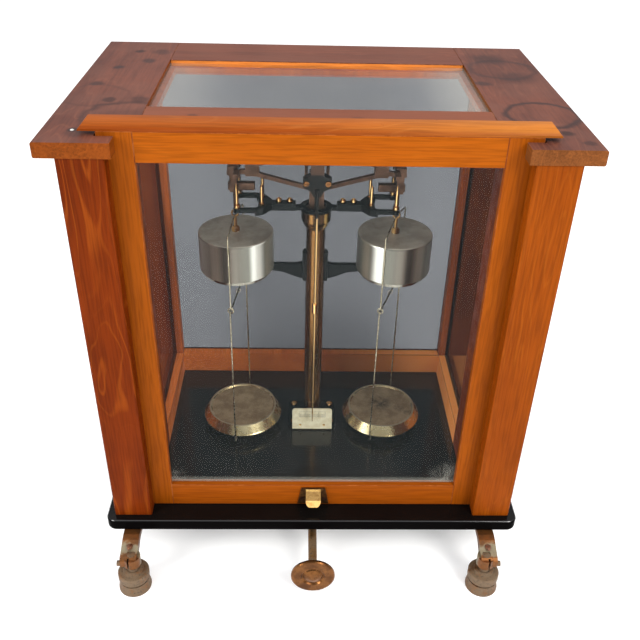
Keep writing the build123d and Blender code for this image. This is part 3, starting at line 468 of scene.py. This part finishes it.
def metal(name, dark, light, roughness, scale, brushed=(1, 1, 1), wear=0.1, bump=0.05,
          anisotropic=0.0):
    """A metal with tarnish clouds and fine marks, which are long where brushed is small."""
    shade = Shade(name)
    clouds = shade.noise(shade.place, scale, 4.0, 0.65)
    marks = shade.noise(shade.mapped(scale=brushed), 1400.0, 3.0, 0.7)
    color = shade.mix(shade.ramp(clouds, 0.34, 0.68), dark, light)
    gloss = shade.plus(shade.ramp(clouds, 0.3, 0.7, roughness + wear, roughness - wear),
                       shade.ramp(marks, 0.3, 0.7, -0.03, 0.05))
    normal = shade.bump(marks, bump, 0.0002)
    return shade.finish(shade.surface(color, gloss, normal, Metallic=1.0,
                                      Anisotropic=anisotropic))


def patinated(name, bare, patina, share=0.5, roughness=0.4):
    """Old brass, bare and warm in places and grey-brown with patina in others."""
    shade = Shade(name)
    blotches = shade.noise(shade.place, 75.0, 5.0, 0.7)
    fine = shade.noise(shade.place, 520.0, 4.0, 0.7)
    mottle = shade.plus(shade.times(blotches, 0.7), shade.times(fine, 0.3))
    mask = shade.ramp(mottle, 0.62 - share / 2, 0.82 - share / 2)
    color = shade.mix(mask, bare, patina)
    color = shade.mix(shade.ramp(fine, 0.50, 0.66, 0.0, 0.7), color, GRIME)
    gloss = shade.plus(shade.times(mask, 0.28), roughness)
    metallic = shade.math("SUBTRACT", 1.0, shade.times(mask, 0.65))
    normal = shade.bump(fine, 0.25, 0.0004)
    return shade.finish(shade.surface(color, gloss, normal, Metallic=metallic))


def enamel(name, color, pale):
    """Satin enamel over iron, with a fine texture and slightly worn patches."""
    shade = Shade(name)
    grit = shade.noise(shade.place, 900.0, 4.0, 0.7)
    wear = shade.noise(shade.place, 130.0, 4.0, 0.7)
    tint = shade.mix(shade.ramp(wear, 0.6, 0.8, 0.0, 0.5), color, pale)
    normal = shade.bump(grit, 0.12, 0.0003)
    gloss = shade.ramp(wear, 0.3, 0.7, 0.32, 0.48)
    return shade.finish(shade.surface(tint, gloss, normal, Specular_IOR_Level=0.14))


def cup_material(name, flip, shift):
    """Brushed nickel with upright bands of painted highlight and reflection, a satin lid and a
    gilt nut on it.

    flip is 1 or -1 and puts the painted highlight, the brightest band, on the right or the left of
    the cup, and shift moves all the bands round it.
    """
    shade = Shade(name)
    low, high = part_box(name)
    cup_axis = (low + high) / 2
    across = shade.math("SUBTRACT", shade.times(shade.normal_axis("X"), flip), shift)
    upward = shade.upward(0.7)
    marks = shade.noise(shade.mapped(scale=(1, 1, 0.02)), 900.0, 3.0, 0.7)
    # Painted light and shade: one side of the cup lighter than the other.
    shaded_side = tone(114, 102, 92)
    lit_side = tone(124, 120, 110)
    color = shade.mix(shade.ramp(across, -0.25, 0.20), shaded_side, lit_side)
    # Each band is its centre, width and depth over the face normal's X, and its colour.
    # The bands are painted reflections, and the brightest is a painted highlight.
    bands = (
        (-0.64, 0.18, 0.85, tone(164, 152, 138)),
        (-0.12, 0.12, 0.30, tone(150, 142, 130)),
        (-0.36, 0.14, 0.80, tone(64, 52, 45)),
        (0.44, 0.22, 1.00, tone(255, 253, 244)),
        (0.74, 0.14, 0.80, tone(156, 146, 130)),
        (0.97, 0.10, 0.60, tone(96, 80, 62)),
    )
    for centre, width, depth, tint in bands:
        away = shade.apart(across, centre)
        color = shade.mix(shade.ramp(away, width * 0.25, width, depth, 0.0), color, tint)
    # The lid is lighter than the sides: its satin finish, in part a painted sheen.
    lid_clouds = shade.noise(shade.place, 46.0, 4.0, 0.65)
    lid = shade.mix(shade.ramp(lid_clouds, 0.35, 0.65), tone(158, 148, 134),
                    tone(184, 174, 160))
    color = shade.mix(upward, color, lid)
    on_axis = shade.ramp(shade.distance(cup_axis), CUP_NUT_REACH - 0.2 * MM,
                         CUP_NUT_REACH + 0.2 * MM, 1.0, 0.0)
    lid_z = low.z + CUP_HEIGHT
    above = shade.ramp(shade.along("Z"), lid_z + 0.1 * MM, lid_z + 0.4 * MM)
    # Painted light and shade on the gilt nut's two sides.
    lit_gilt = tone(236, 190, 120)
    shaded_gilt = tone(120, 74, 34)
    gilt = shade.mix(shade.ramp(shade.normal_axis("X"), -0.6, 0.2), lit_gilt, shaded_gilt)
    color = shade.mix(shade.times(on_axis, above), color, gilt)
    scratch = tone(40, 34, 30)
    color = shade.mix(shade.ramp(marks, 0.35, 0.65, 0.10, 0.0), color, scratch)
    gloss = shade.plus(shade.ramp(marks, 0.3, 0.7, 0.30, 0.38), shade.times(upward, 0.12))
    normal = shade.bump(marks, 0.02, 0.0002)
    return shade.finish(shade.surface(color, gloss, normal, Metallic=0.62))


def banded_brass(name, edge, middle, bands):
    """Turned brass with upright bright and dark bands (centre, width, depth, color), painted
    highlights and reflections.

    A band's centre and width are over the face normal's X, from -1 to 1.
    """
    shade = Shade(name)
    across = shade.normal_axis("X")
    marks = shade.noise(shade.mapped(scale=(1, 1, 0.03)), 1200.0, 3.0, 0.7)
    clouds = shade.noise(shade.place, 70.0, 4.0, 0.65)
    # Painted shade: darker towards the sides, where the surface turns away.
    color = shade.mix(shade.ramp(shade.math("ABSOLUTE", across), 0.35, 1.0), middle, edge)
    # The bands are painted highlights and painted reflections.
    for centre, width, depth, tint in bands:
        away = shade.apart(across, centre)
        color = shade.mix(shade.ramp(away, width * 0.3, width, depth, 0.0), color, tint)
    color = shade.mix(shade.ramp(clouds, 0.45, 0.75, 0.0, 0.18), color, TARNISH_AND_SHADE)
    gloss = shade.ramp(marks, 0.3, 0.7, 0.22, 0.28)
    normal = shade.bump(marks, 0.02, 0.0002)
    return shade.finish(shade.surface(color, gloss, normal, Metallic=0.85))


def pointer_finish():
    """Bronze at the top of the head, black on the head, and a polished brass needle with painted
    light and shade.
    """
    blackened = tone(16, 14, 13)
    worn = tone(58, 42, 34)
    bronze = tone(92, 66, 52)
    polished = tone(232, 190, 126)
    shade = Shade("pointer_finish")
    height = shade.along("Z")
    fine = shade.noise(shade.place, 500.0, 4.0, 0.7)
    black = shade.mix(shade.ramp(fine, 0.5, 0.75), blackened, worn)
    head_z = pointer_top - BRONZE_HEAD
    top = shade.ramp(height, head_z - 1 * MM, head_z + 1 * MM)
    color = shade.mix(top, black, bronze)
    needle = shade.ramp(height, collar_top, collar_top + 2 * MM, 1.0, 0.0)
    # Painted highlight on the needle's right side and painted shade on its left.
    bright = shade.ramp(shade.normal_axis("X"), -0.5, 0.1)
    brass = shade.mix(bright, TARNISH_AND_SHADE, polished)
    color = shade.mix(needle, color, brass)
    gloss = shade.ramp(needle, 0.0, 1.0, 0.4, 0.25)
    shine = shade.ramp(needle, 0.0, 1.0, 0.15, 0.6)
    metallic = shade.times(needle, 0.7)
    return shade.finish(shade.surface(color, gloss, Metallic=metallic,
                                      Specular_IOR_Level=shine))


def lift_tab_brass():
    """A dark patinated plate; the tongue that stands off it is worn to bright brass."""
    shade = Shade("tab_brass")
    off_plate = shade.math("SUBTRACT", door_front - TAB_PLATE, shade.along("Y"))
    bare = shade.ramp(off_plate, 0.3 * MM, 1.2 * MM)
    clouds = shade.noise(shade.place, 260.0, 4.0, 0.65)
    plate = shade.mix(shade.ramp(clouds, 0.4, 0.7), tone(76, 50, 28), tone(116, 80, 44))
    tongue = shade.mix(shade.ramp(clouds, 0.4, 0.75), tone(224, 178, 108),
                       tone(190, 140, 76))
    gloss = shade.ramp(bare, 0.0, 1.0, 0.42, 0.2)
    return shade.finish(shade.surface(shade.mix(bare, plate, tongue), gloss, Metallic=0.9))


def strap_brass():
    """The foot straps: warm brown metal with a grey-green patch on the slope."""
    warm_brown = tone(120, 74, 36)
    dull_brown = tone(94, 62, 36)
    verdigris = tone(124, 116, 92)
    pits = tone(60, 44, 32)
    shade = Shade("strap_brass")
    fine = shade.noise(shade.place, 420.0, 4.0, 0.7)
    blotches = shade.noise(shade.place, 80.0, 4.0, 0.7)
    off_patch = shade.apart(shade.along("Y"), brackets_low.y + STRAP_SLOPE)
    ragged = shade.plus(off_patch, shade.ramp(blotches, 0.3, 0.7, -3 * MM, 3 * MM))
    patch = shade.ramp(ragged, 3.0 * MM, 7.5 * MM, 0.85, 0.0)
    color = shade.mix(shade.ramp(blotches, 0.4, 0.65), warm_brown, dull_brown)
    color = shade.mix(patch, color, verdigris)
    color = shade.mix(shade.ramp(fine, 0.56, 0.74, 0.0, 0.5), color, pits)
    normal = shade.bump(fine, 0.2, 0.0004)
    metallic = shade.ramp(patch, 0.0, 0.8, 0.8, 0.3)
    return shade.finish(shade.surface(color, 0.42, normal, Metallic=metallic))


def pan_material(name, blotches):
    """Plated brass, turned: dull and brown on the dish, brighter on the bevel.

    Each of the blotches holds its x, y, size and depth, from the pan's centre.
    """
    pale_ring = tone(214, 204, 176)
    blotch = tone(66, 56, 44)
    shade = Shade(name)
    low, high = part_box(name)
    centre = (low + high) / 2
    radius = (high.x - low.x) / 2
    away = shade.distance((centre.x, centre.y, 0))
    upward = shade.upward(0.90, 0.985)
    middle = shade.mapped(offset=(-centre.x, -centre.y, 0))
    turning = shade.wave(middle, 420.0, 0.6, wave_type="RINGS", rings_direction="Z")
    clouds = shade.noise(shade.mapped(offset=(centre.x * 9, 0, 0)), 60.0, 5.0, 0.7)
    dull = shade.mix(shade.ramp(clouds, 0.35, 0.65), tone(174, 145, 109), tone(210, 182, 144))
    bevel = shade.mix(shade.ramp(clouds, 0.35, 0.7), tone(190, 168, 124), tone(208, 190, 148))
    color = shade.mix(upward, bevel, dull)
    # A pale ring along the dish's edge.
    dish_edge = shade.apart(away, radius * DISH_EDGE_SHARE)
    color = shade.mix(shade.ramp(dish_edge, 0.0, 1.6 * MM, 0.55, 0.0), color, pale_ring)
    for x, y, size, depth in blotches:
        spot = (centre.x + x, centre.y + y, 0)
        share = shade.ramp(shade.distance(spot), size * 0.2, size, depth, 0.0)
        rough_edge = shade.ramp(shade.noise(shade.place, 130.0, 4.0, 0.7), 0.36, 0.6)
        color = shade.mix(shade.times(share, rough_edge), color, blotch)
    gloss = shade.plus(shade.ramp(clouds, 0.3, 0.7, 0.20, 0.32), shade.times(upward, 0.22))
    normal = shade.bump(turning.outputs["Fac"], 0.03, 0.0002)
    return shade.finish(shade.surface(color, gloss, normal, Metallic=0.9))


def ivory():
    """The scale plate: cream, clouded a little with age."""
    shade = Shade("ivory_plate")
    clouds = shade.noise(shade.place, 160.0, 4.0, 0.6)
    color = shade.mix(shade.ramp(clouds, 0.35, 0.7), tone(216, 202, 168), tone(234, 224, 196))
    normal = shade.bump(clouds, 0.03, 0.0002)
    return shade.finish(shade.surface(color, 0.42, normal))


def print_ink():
    """Faded grey-green ink."""
    shade = Shade("scale_ink")
    patches = shade.noise(shade.place, 700.0, 3.0)
    color = shade.mix(shade.ramp(patches, 0.4, 0.7), tone(58, 62, 54), tone(96, 100, 88))
    return shade.finish(shade.surface(color, 0.6))


def agate():
    """The polished, banded stone that the beam's middle knife rests on."""
    shade = Shade("agate_stone")
    layers = shade.wave(shade.place, 90.0, 4.0, wave_type="BANDS", bands_direction="X")
    layers.inputs["Detail"].default_value = 3.0
    color = shade.mix(layers.outputs["Fac"], tone(120, 52, 36), tone(176, 108, 84))
    return shade.finish(shade.surface(color, 0.12, Coat_Weight=0.4, Coat_Roughness=0.05))


# ---- giving the CAD nodes their finish ----------------------------------------------------------
def give(names, material):
    """Makes one material the only one on each of the named CAD nodes."""
    for name in names:
        slots = nodes[name].data.materials
        slots.clear()
        slots.append(material)


def ease_edges(name, width, edge_material):
    """A small worn bevel along the edges of a wooden node."""
    node = nodes[name]
    node.data.materials.append(edge_material)
    weld = node.modifiers.new("weld", "WELD")
    weld.merge_threshold = 0.02 * MM
    bevel = node.modifiers.new("bevel", "BEVEL")
    bevel.width = width
    bevel.segments = 2
    bevel.limit_method = "ANGLE"
    bevel.angle_limit = math.radians(30)
    bevel.material = 1


# Stains on the top. A ring is x, y, radius, width and depth; a spot is x, y, radius and depth.
LEFT_RINGS = ((-0.150, -0.060, 0.033, 0.006, 0.55), (-0.185, -0.010, 0.028, 0.004, 0.25))
LEFT_SPOTS = (
    (*PIN_PLACE, 0.006, 0.95), (-0.171, 0.128, 0.007, 0.8), (-0.157, 0.095, 0.009, 0.7),
    (-0.181, 0.070, 0.007, 0.8), (-0.150, 0.125, 0.012, 0.5), (-0.190, 0.020, 0.008, 0.7),
    (-0.172, -0.022, 0.008, 0.7), (-0.146, -0.020, 0.012, 0.6), (-0.150, -0.062, 0.028, 0.35),
    (-0.180, -0.100, 0.010, 0.5),
)
RIGHT_RINGS = ((0.178, -0.042, 0.029, 0.005, 0.85), (0.172, 0.085, 0.030, 0.006, 0.5))
RIGHT_SPOTS = (
    (0.165, 0.118, 0.022, 0.6), (0.146, 0.040, 0.010, 0.7), (0.180, 0.060, 0.024, 0.45),
    (0.1846, -0.085, 0.008, 0.8), (0.198, -0.105, 0.006, 0.6), (0.158, -0.074, 0.010, 0.6),
)
FRONT_SPOTS = ((-0.100, -0.055, 0.006, 0.6), (0.030, -0.060, 0.007, 0.4))


def dress_wood():
    """Varnish for the posts, the door and the rails, and stained boards for the top."""
    red_edge = worn_arris("red_arris", tone(104, 42, 10), tone(176, 104, 54), 0.6)
    amber_edge = worn_arris("amber_arris", tone(120, 56, 12), tone(176, 104, 50), 0.45)
    brown_edge = worn_arris("brown_arris", tone(84, 42, 24), tone(150, 96, 62), 0.55)
    # Each wood is its dark, middle and light colour and how clear its figure is.
    red = (RED_DARK, RED, RED_LIGHT, 0.42)
    figured_red = (RED_DARK, RED, RED_LIGHT, 0.5)
    amber = (AMBER_DARK, AMBER, AMBER_LIGHT, 0.15)
    inner = (INNER_DARK, INNER, INNER_LIGHT, 0.45)
    lit_inner = (tone(150, 70, 32), tone(186, 98, 46), tone(200, 116, 60), 0.45)
    orange = (ORANGE_DARK, ORANGE, ORANGE_LIGHT, 0.12)
    sill = (SILL_DARK, SILL, SILL_LIGHT, 0.35)
    # Painted shadow: the front posts' shadow darkens the outer half of each door stile.
    painted_post_shadow = ("outward X", 0.146, 0.158, 0.12, 0.40, tone(60, 16, 4))
    # Painted shade: the door's rails darker towards the bottom.
    painted_shade_below = ("Z", 0.12, 0.30, 0.22, 0.0, tone(90, 26, 10))
    # Painted light: the bottom rails lighter towards the right.
    painted_light_right = ("X", 0.0, 0.12, 0.0, 0.9, tone(240, 150, 78))
    boards = {
        "left_front_post": ("Z", (0.3, 0.1, 0.2), red, red_edge, None),
        "right_front_post": ("Z", (1.7, 0.4, 0.9), amber, amber_edge, None),
        "left_rear_post": ("Z", (2.2, 0.7, 0.1), lit_inner, red_edge, None),
        "right_rear_post": ("Z", (3.1, 0.2, 0.5), inner, red_edge, None),
        "side_stiles": ("Z", (4.3, 0.9, 0.4), figured_red, red_edge, None),
        "door_stiles": ("Z", (0.8, 0.0, 0.3), orange, amber_edge, painted_post_shadow),
        "door_rails": ("X", (0.2, 0.6, 0.1), orange, amber_edge, painted_shade_below),
        "bottom_rails": ("Y", (0.0, 0.4, 0.7), sill, red_edge, painted_light_right),
        "top_rails": ("Y", (0.5, 0.1, 0.2), inner, red_edge, None),
    }
    for name, (axis, offset, wood, edge, painted_shading) in boards.items():
        give([name], varnished(name, axis, offset, *wood, painted_shading=painted_shading))
        ease_edges(name, 0.55 * MM, edge)
    give(["door_moulding"], honey_moulding())
    give(["glazing_beads"], varnished("glazing_beads", "Z", (0.6, 0.6, 0.6), INNER_DARK,
                                      INNER, INNER_LIGHT, 0.3))
    # Each board of the top is what stained_top takes after its name.
    top = {
        "top_left_board": ("Y", (0.1, 0.5, 0.2), tone(124, 60, 14), 0.0, LEFT_RINGS, LEFT_SPOTS),
        "top_right_board": ("Y", (1.1, 0.2, 0.4), tone(122, 70, 32), 0.0, RIGHT_RINGS,
                            RIGHT_SPOTS),
        "top_front_rail": ("X", (0.4, 0.8, 0.0), tone(196, 104, 40), 0.24, (), FRONT_SPOTS),
        "top_back_rail": ("X", (0.9, 0.1, 0.3), tone(220, 128, 54), 0.08, (), ()),
    }
    for name, look in top.items():
        give([name], stained_top(name, *look))
        ease_edges(name, 0.7 * MM, brown_edge)


def dress_metal():
    """Brass, bronze, nickel, steel and black enamel, and the plate and stone among them."""
    # These bands are painted highlights and painted reflections on the turned brass.
    brass = banded_brass("column_brass", tone(82, 50, 24), tone(100, 66, 32), (
        (-0.30, 0.30, 0.8, tone(150, 104, 54)),
        (0.10, 0.16, 0.8, tone(58, 38, 20)),
        (0.72, 0.16, 0.6, tone(124, 84, 42)),
    ))
    collar = banded_brass("collar_brass", tone(52, 34, 16), tone(70, 44, 20), (
        (-0.38, 0.22, 0.9, tone(166, 120, 66)),
        (0.12, 0.22, 0.8, tone(40, 27, 14)),
        (0.62, 0.16, 1.0, tone(236, 196, 118)),
    ))
    bright = banded_brass("bright_brass", tone(84, 48, 22), tone(140, 88, 42), (
        (-0.15, 0.35, 1.0, tone(255, 214, 146)),
        (0.55, 0.25, 0.7, tone(80, 44, 20)),
    ))
    bronze = metal("bronze", tone(70, 50, 40), tone(98, 72, 58), 0.42, 60.0, bump=0.04)
    knob = metal("knob_bronze", tone(86, 54, 30), tone(124, 82, 46), 0.28, 70.0, bump=0.03)
    nickel = metal("brushed_nickel", tone(140, 132, 120), tone(166, 160, 148), 0.24, 14.0,
                   brushed=(1, 1, 0.02), wear=0.04, bump=0.03, anisotropic=0.3)
    wire = metal("wire_nickel", tone(150, 138, 112), tone(206, 196, 172), 0.26, 300.0)
    steel = metal("ground_steel", tone(150, 148, 142), tone(196, 194, 188), 0.22, 200.0)
    shaft = patinated("shaft_brass", tone(150, 108, 62), tone(112, 88, 62))
    aged = patinated("foot_brass", tone(122, 82, 50), tone(110, 90, 68), 0.55, 0.42)
    black = enamel("black_enamel", tone(9, 9, 9), tone(34, 31, 29))
    blotches = (
        (0.0, 0.004, 0.016, 0.75),
        (0.020, -0.004, 0.008, 0.55),
        (0.028, -0.012, 0.006, 0.5),
    )
    give(["column_tube"], brass)
    give(["column_collar"], collar)
    give(["arrest_pillars", "arrest_frame_screws", "column_screws", "pointer_weight",
          "scale_bracket"], bright)
    give(["door_lift_tab"], lift_tab_brass())
    give(["beam", "beam_support", "left_stirrup", "right_stirrup", "door_tab_screws"], bronze)
    give(["arrest_knob", "beam_nuts"], knob)
    give(["arrest_shaft"], shaft)
    give(["damper_cylinders"], nickel)
    give(["left_damper_cup"], cup_material("left_damper_cup", 1.0, 0.15))
    give(["right_damper_cup"], cup_material("right_damper_cup", -1.0, 0.06))
    give(["left_hanger_bow", "right_hanger_bow", "left_pan_bow", "right_pan_bow"], wire)
    give(["beam_knives", "lift_rod"], steel)
    give(["foot_clamp_screws", "foot_cups", "rear_foot", "left_levelling_screw",
          "right_levelling_screw"], aged)
    give(["foot_brackets"], strap_brass())
    give(["damper_bracket", "arrest_frame", "column_foot", "shaft_hangers"], black)
    give(["pointer"], pointer_finish())
    give(["left_pan"], pan_material("left_pan", ()))
    give(["right_pan"], pan_material("right_pan", blotches))
    give(["scale_plate"], ivory())
    give(["centre_plane"], agate())


def dress_glass():
    """The panes, with dirt in the door's lower corners and dust on the top, and the board."""
    sight_low = door_glass_low + Vector((GLASS_REBATE, 0, GLASS_REBATE))
    right_corner = Vector((door_glass_high.x - GLASS_REBATE, sight_low.y, sight_low.z))
    dirt_line = ("Z", sight_low.z + 1 * MM, sight_low.z + 4 * MM, 0.16, 0.0)
    dusty_left = ("X", -0.14, -0.07, 0.07, 0.0)
    dusty_right = ("X", 0.08, 0.14, 0.0, 0.13)
    give(["door_glass"], pane("door_pane", 0.05, haze=(dirt_line,), painted_glow=0.007,
                              grime=((right_corner, 0.032, 0.20), (sight_low, 0.020, 0.15))))
    # Painted shade: the side panes' brown tint darkens the rear posts seen through them, more on
    # the right.
    give(["side_glasses"], pane("side_pane", 0.0, tint=(0.575, 0.53, 0.51, 1.0),
                                fade=("X", -0.05, 0.05, (0.45, 0.45, 0.44, 1.0))))
    give(["top_glass"], pane("top_pane", 0.58, film=0.03, haze=(dusty_left, dusty_right)))
    # Painted shade: the back pane's grey tint darkens all that is seen through it, most in the
    # middle.
    give(["back_glass"], pane("back_shade_pane", 0.06, tint=(0.340, 0.340, 0.352, 1.0),
                              fade=("outward X", 0.05, 0.13, (0.395, 0.395, 0.408, 1.0))))
    give(["base_board"], black_lacquer())


dress_wood()
dress_metal()
dress_glass()


# ---- mesh helpers for the added pieces -------------------------------------------------------
def piece(name, bm, material, body):
    """A new object from a bmesh with one material, riding on a body."""
    mesh = bpy.data.meshes.new(name)
    bmesh.ops.recalc_face_normals(bm, faces=bm.faces)
    bm.to_mesh(mesh)
    bm.free()
    obj = bpy.data.objects.new(name, mesh)
    bpy.context.scene.collection.objects.link(obj)
    mesh.materials.append(material)
    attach(obj, body)
    return obj


def soften(obj, width):
    """Smooth shading, and a small bevel on the sharp edges."""
    bevel = obj.modifiers.new("bevel", "BEVEL")
    bevel.width = width
    bevel.segments = 2
    bevel.limit_method = "ANGLE"
    for polygon in obj.data.polygons:
        polygon.use_smooth = True


def add_box(bm, low, high, turn):
    """A box between two corners, moved by a matrix."""
    middle = (Vector(low) + Vector(high)) / 2
    size = Vector(high) - Vector(low)
    place = turn @ Matrix.Translation(middle) @ Matrix.Diagonal((*size, 1))
    bmesh.ops.create_cube(bm, size=1, matrix=place)


def circle(sides):
    """The cosine and sine at even steps round a circle."""
    angles = [2 * math.pi * step / sides for step in range(sides)]
    return [(math.cos(angle), math.sin(angle)) for angle in angles]


def skin_rings(bm, rings):
    """Faces from each ring of vertices to the next, and over both ends."""
    for low, high in zip(rings, rings[1:]):
        for step in range(len(low)):
            after = (step + 1) % len(low)
            bm.faces.new((low[step], low[after], high[after], high[step]))
    bm.faces.new(rings[0])
    bm.faces.new(rings[-1])


def add_tube(bm, points, radius, sides=10):
    """A round wire along a run of points, closed at both ends."""
    rings = []
    for index, point in enumerate(points):
        before = points[max(index - 1, 0)]
        after = points[min(index + 1, len(points) - 1)]
        along = (after - before).normalized()
        helper = Vector((0, 0, 1)) if abs(along.z) < 0.9 else Vector((1, 0, 0))
        first = along.cross(helper).normalized()
        second = along.cross(first)
        rings.append([bm.verts.new(point + (first * x + second * y) * radius)
                      for x, y in circle(sides)])
    skin_rings(bm, rings)


def add_lathe(bm, profile, place, sides):
    """Turns a run of (radius, height) points about the upright axis of a matrix."""
    rings = []
    for radius, height in profile:
        rings.append([bm.verts.new(place @ Vector((radius * x, radius * y, height)))
                      for x, y in circle(sides)])
    skin_rings(bm, rings)


# ---- the pieces that the CAD does not have ------------------------------------------------------
def make_scale_marks():
    """A ruler printed on the upper half of the leaning plate, with its longer marks."""
    up = Vector((0, math.sin(SCALE_LEAN), math.cos(SCALE_LEAN)))
    out = Vector((0, -math.cos(SCALE_LEAN), math.sin(SCALE_LEAN)))
    turn = Matrix((
        (1, out.x, up.x, 0),
        (0, out.y, up.y, scale_low.y),
        (0, out.z, up.z, scale_low.z),
        (0, 0, 0, 1),
    ))
    bm = bmesh.new()
    step = 1.42 * MM
    count = 10
    base = 15.4 * MM
    half_line = 0.14 * MM
    back = -0.3 * MM
    front = 0.06 * MM
    for index in range(-count, count + 1):
        tall = 5.4 * MM if index % 5 == 0 else 3.6 * MM
        x = index * step
        add_box(bm, (x - half_line, back, base), (x + half_line, front, base + tall), turn)
    half_ruler = count * step + 0.6 * MM
    for height in (base - 0.3 * MM, base + 6.2 * MM):
        add_box(bm, (-half_ruler, back, height), (half_ruler, front, height + 0.22 * MM), turn)
    piece("scale_marks", bm, print_ink(), "case")


def make_crossbar_hooks():
    """A small wire hook that rides at the middle of each pan bow's crossbar."""
    bright = metal("hook_nickel", tone(186, 178, 156), tone(226, 220, 204), 0.2, 300.0,
                   bump=0.02)
    steps = 14
    start = -60
    sweep = 300
    loop_radius = 2.3 * MM
    for name in SIDES:
        low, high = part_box(f"{name}_pan")
        centre = (low + high) / 2
        bar_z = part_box(f"{name}_pan_bow")[1].z - BOW_WIRE_RADIUS
        points = []
        for step in range(steps + 1):
            share = step / steps
            angle = math.radians(start + sweep * share)
            points.append(Vector((centre.x + loop_radius * math.cos(angle),
                                  centre.y - 0.4 * MM + 0.8 * MM * share,
                                  bar_z + 0.4 * MM + loop_radius * math.sin(angle))))
        points.append(Vector((points[-1].x - 1.4 * MM, centre.y + 0.4 * MM, bar_z - 3.4 * MM)))
        bm = bmesh.new()
        add_tube(bm, points, 0.5 * MM)
        hook = piece(f"{name}_crossbar_hook", bm, bright, f"{name}_pan")
        soften(hook, 0.1 * MM)


def make_strap_screws():
    """A long drop-shaped screw head let into the slope of each foot strap."""
    brown = patinated("strap_screw_brass", tone(150, 96, 64), tone(120, 84, 66))
    radius = 3.0 * MM
    profile = ((radius, -2.0 * MM), (radius, 0.4 * MM), (2.5 * MM, 1.0 * MM),
               (1.4 * MM, 1.4 * MM), (0.3 * MM, 1.5 * MM))
    narrowing = 0.45
    lengthening = 2.1
    half_strap = 7.9 * MM
    on_slope_y = brackets_low.y + STRAP_SLOPE + 2.5 * MM
    on_slope_z = brackets_high.z - 2.7 * MM
    tilt = Matrix.Rotation(math.radians(-24), 4, "X")
    for name, side in SIDES.items():
        outer_x = brackets_low.x if side < 0 else brackets_high.x
        middle = (outer_x - side * half_strap, on_slope_y, on_slope_z)
        place = Matrix.Translation(middle) @ tilt
        bm = bmesh.new()
        add_lathe(bm, profile, place, 28)
        inverse = place.inverted()
        for vert in bm.verts:
            local = inverse @ vert.co
            if local.y < 0:
                local.x *= 1 - narrowing * min(-local.y / radius, 1.0)
                local.y *= lengthening
            vert.co = place @ local
        screw = piece(f"{name}_strap_screw", bm, brown, "case")
        soften(screw, 0.15 * MM)


def pin_metal():
    """Scratched white metal."""
    shade = Shade("pin_metal")
    scratches = shade.noise(shade.place, 1500.0, 3.0, 0.7)
    color = shade.mix(shade.ramp(scratches, 0.4, 0.7), tone(226, 226, 222), tone(180, 178, 172))
    return shade.finish(shade.surface(color, 0.3, Metallic=0.3))


def make_board_pin():
    """The end of a pin, white and raised, beside the moulding on the left board."""
    profile = ((1.5 * MM, -1.5 * MM), (1.5 * MM, 0.25 * MM), (1.1 * MM, 0.6 * MM),
               (0.3 * MM, 0.75 * MM))
    bm = bmesh.new()
    add_lathe(bm, profile, Matrix.Translation((*PIN_PLACE, board_top)), 20)
    pin = piece("board_pin", bm, pin_metal(), "case")
    soften(pin, 0.1 * MM)


make_scale_marks()
make_crossbar_hooks()
make_strap_screws()
make_board_pin()


# ---- floor, lights and camera -------------------------------------------------------------------
def make_floor():
    """A wide sheet of white paper, lit a little by its own glow so that it stays even."""
    half_width = 14.0
    bm = bmesh.new()
    bmesh.ops.create_grid(bm, x_segments=8, y_segments=8, size=half_width)
    mesh = bpy.data.meshes.new("floor")
    bm.to_mesh(mesh)
    bm.free()
    floor = bpy.data.objects.new("floor", mesh)
    bpy.context.scene.collection.objects.link(floor)
    shade = Shade("floor_paper")
    cloud = shade.noise(shade.place, 0.8, 2.0)
    color = shade.mix(cloud, tone(236, 236, 236), tone(244, 244, 244))
    paper = shade.surface(color, 0.9, Specular_IOR_Level=0.1, Emission_Color=(1, 1, 1, 1),
                          Emission_Strength=0.2)
    mesh.materials.append(shade.finish(paper))


def area_light(name, place, size, power, color=(1, 1, 1)):
    """A soft light aimed at the middle of the case. size is its width and height."""
    data = bpy.data.lights.new(name, "AREA")
    data.shape = "RECTANGLE"
    data.size, data.size_y = size
    data.energy = power
    data.color = color
    light = bpy.data.objects.new(name, data)
    bpy.context.scene.collection.objects.link(light)
    light.location = place
    aim = CASE_MIDDLE - Vector(place)
    light.rotation_euler = aim.to_track_quat("-Z", "Y").to_euler()


def make_lights():
    """A key from the right, a fill from the left, a wide light above and a pale room."""
    area_light("key", (1.3, -1.5, 1.7), (0.9, 1.3), 52.0, (1.0, 0.98, 0.95))
    area_light("fill", (-1.7, -1.2, 1.3), (0.8, 1.4), 40.0, (1.0, 0.99, 0.97))
    area_light("over", (0.0, 0.5, 3.6), (5.0, 5.0), 110.0)
    world = bpy.data.worlds.new("studio")
    bpy.context.scene.world = world
    world.use_nodes = True
    background = world.node_tree.nodes["Background"]
    background.inputs["Color"].default_value = (0.93, 0.95, 1.0, 1.0)
    background.inputs["Strength"].default_value = 0.55


def make_camera():
    """Looks down at the case from the front, nearly on its middle and a degree or two askew."""
    pitch = math.radians(33.379)
    yaw = math.radians(1.848)
    roll = math.radians(1.533)
    place = Vector((-0.01554, -0.65267, 0.64322))
    forward = Vector((math.sin(yaw) * math.cos(pitch), math.cos(yaw) * math.cos(pitch),
                      -math.sin(pitch)))
    right = Vector((math.cos(yaw), -math.sin(yaw), 0))
    up = right.cross(forward)
    right_rolled = math.cos(roll) * right + math.sin(roll) * up
    up_rolled = math.cos(roll) * up - math.sin(roll) * right
    data = bpy.data.cameras.new("camera")
    data.lens = 44.12
    data.sensor_width = 36.0
    data.clip_start = 0.02
    camera = bpy.data.objects.new("camera", data)
    bpy.context.scene.collection.objects.link(camera)
    rotation = Matrix((right_rolled, up_rolled, -forward)).transposed()
    camera.matrix_world = Matrix.Translation(place) @ rotation.to_4x4()
    bpy.context.scene.camera = camera


make_floor()
make_lights()
make_camera()
bpy.context.scene.view_settings.view_transform = "Standard"
# Enough for a ray through every pane and all the layers of each.
bpy.context.scene.cycles.transparent_max_bounces = 24
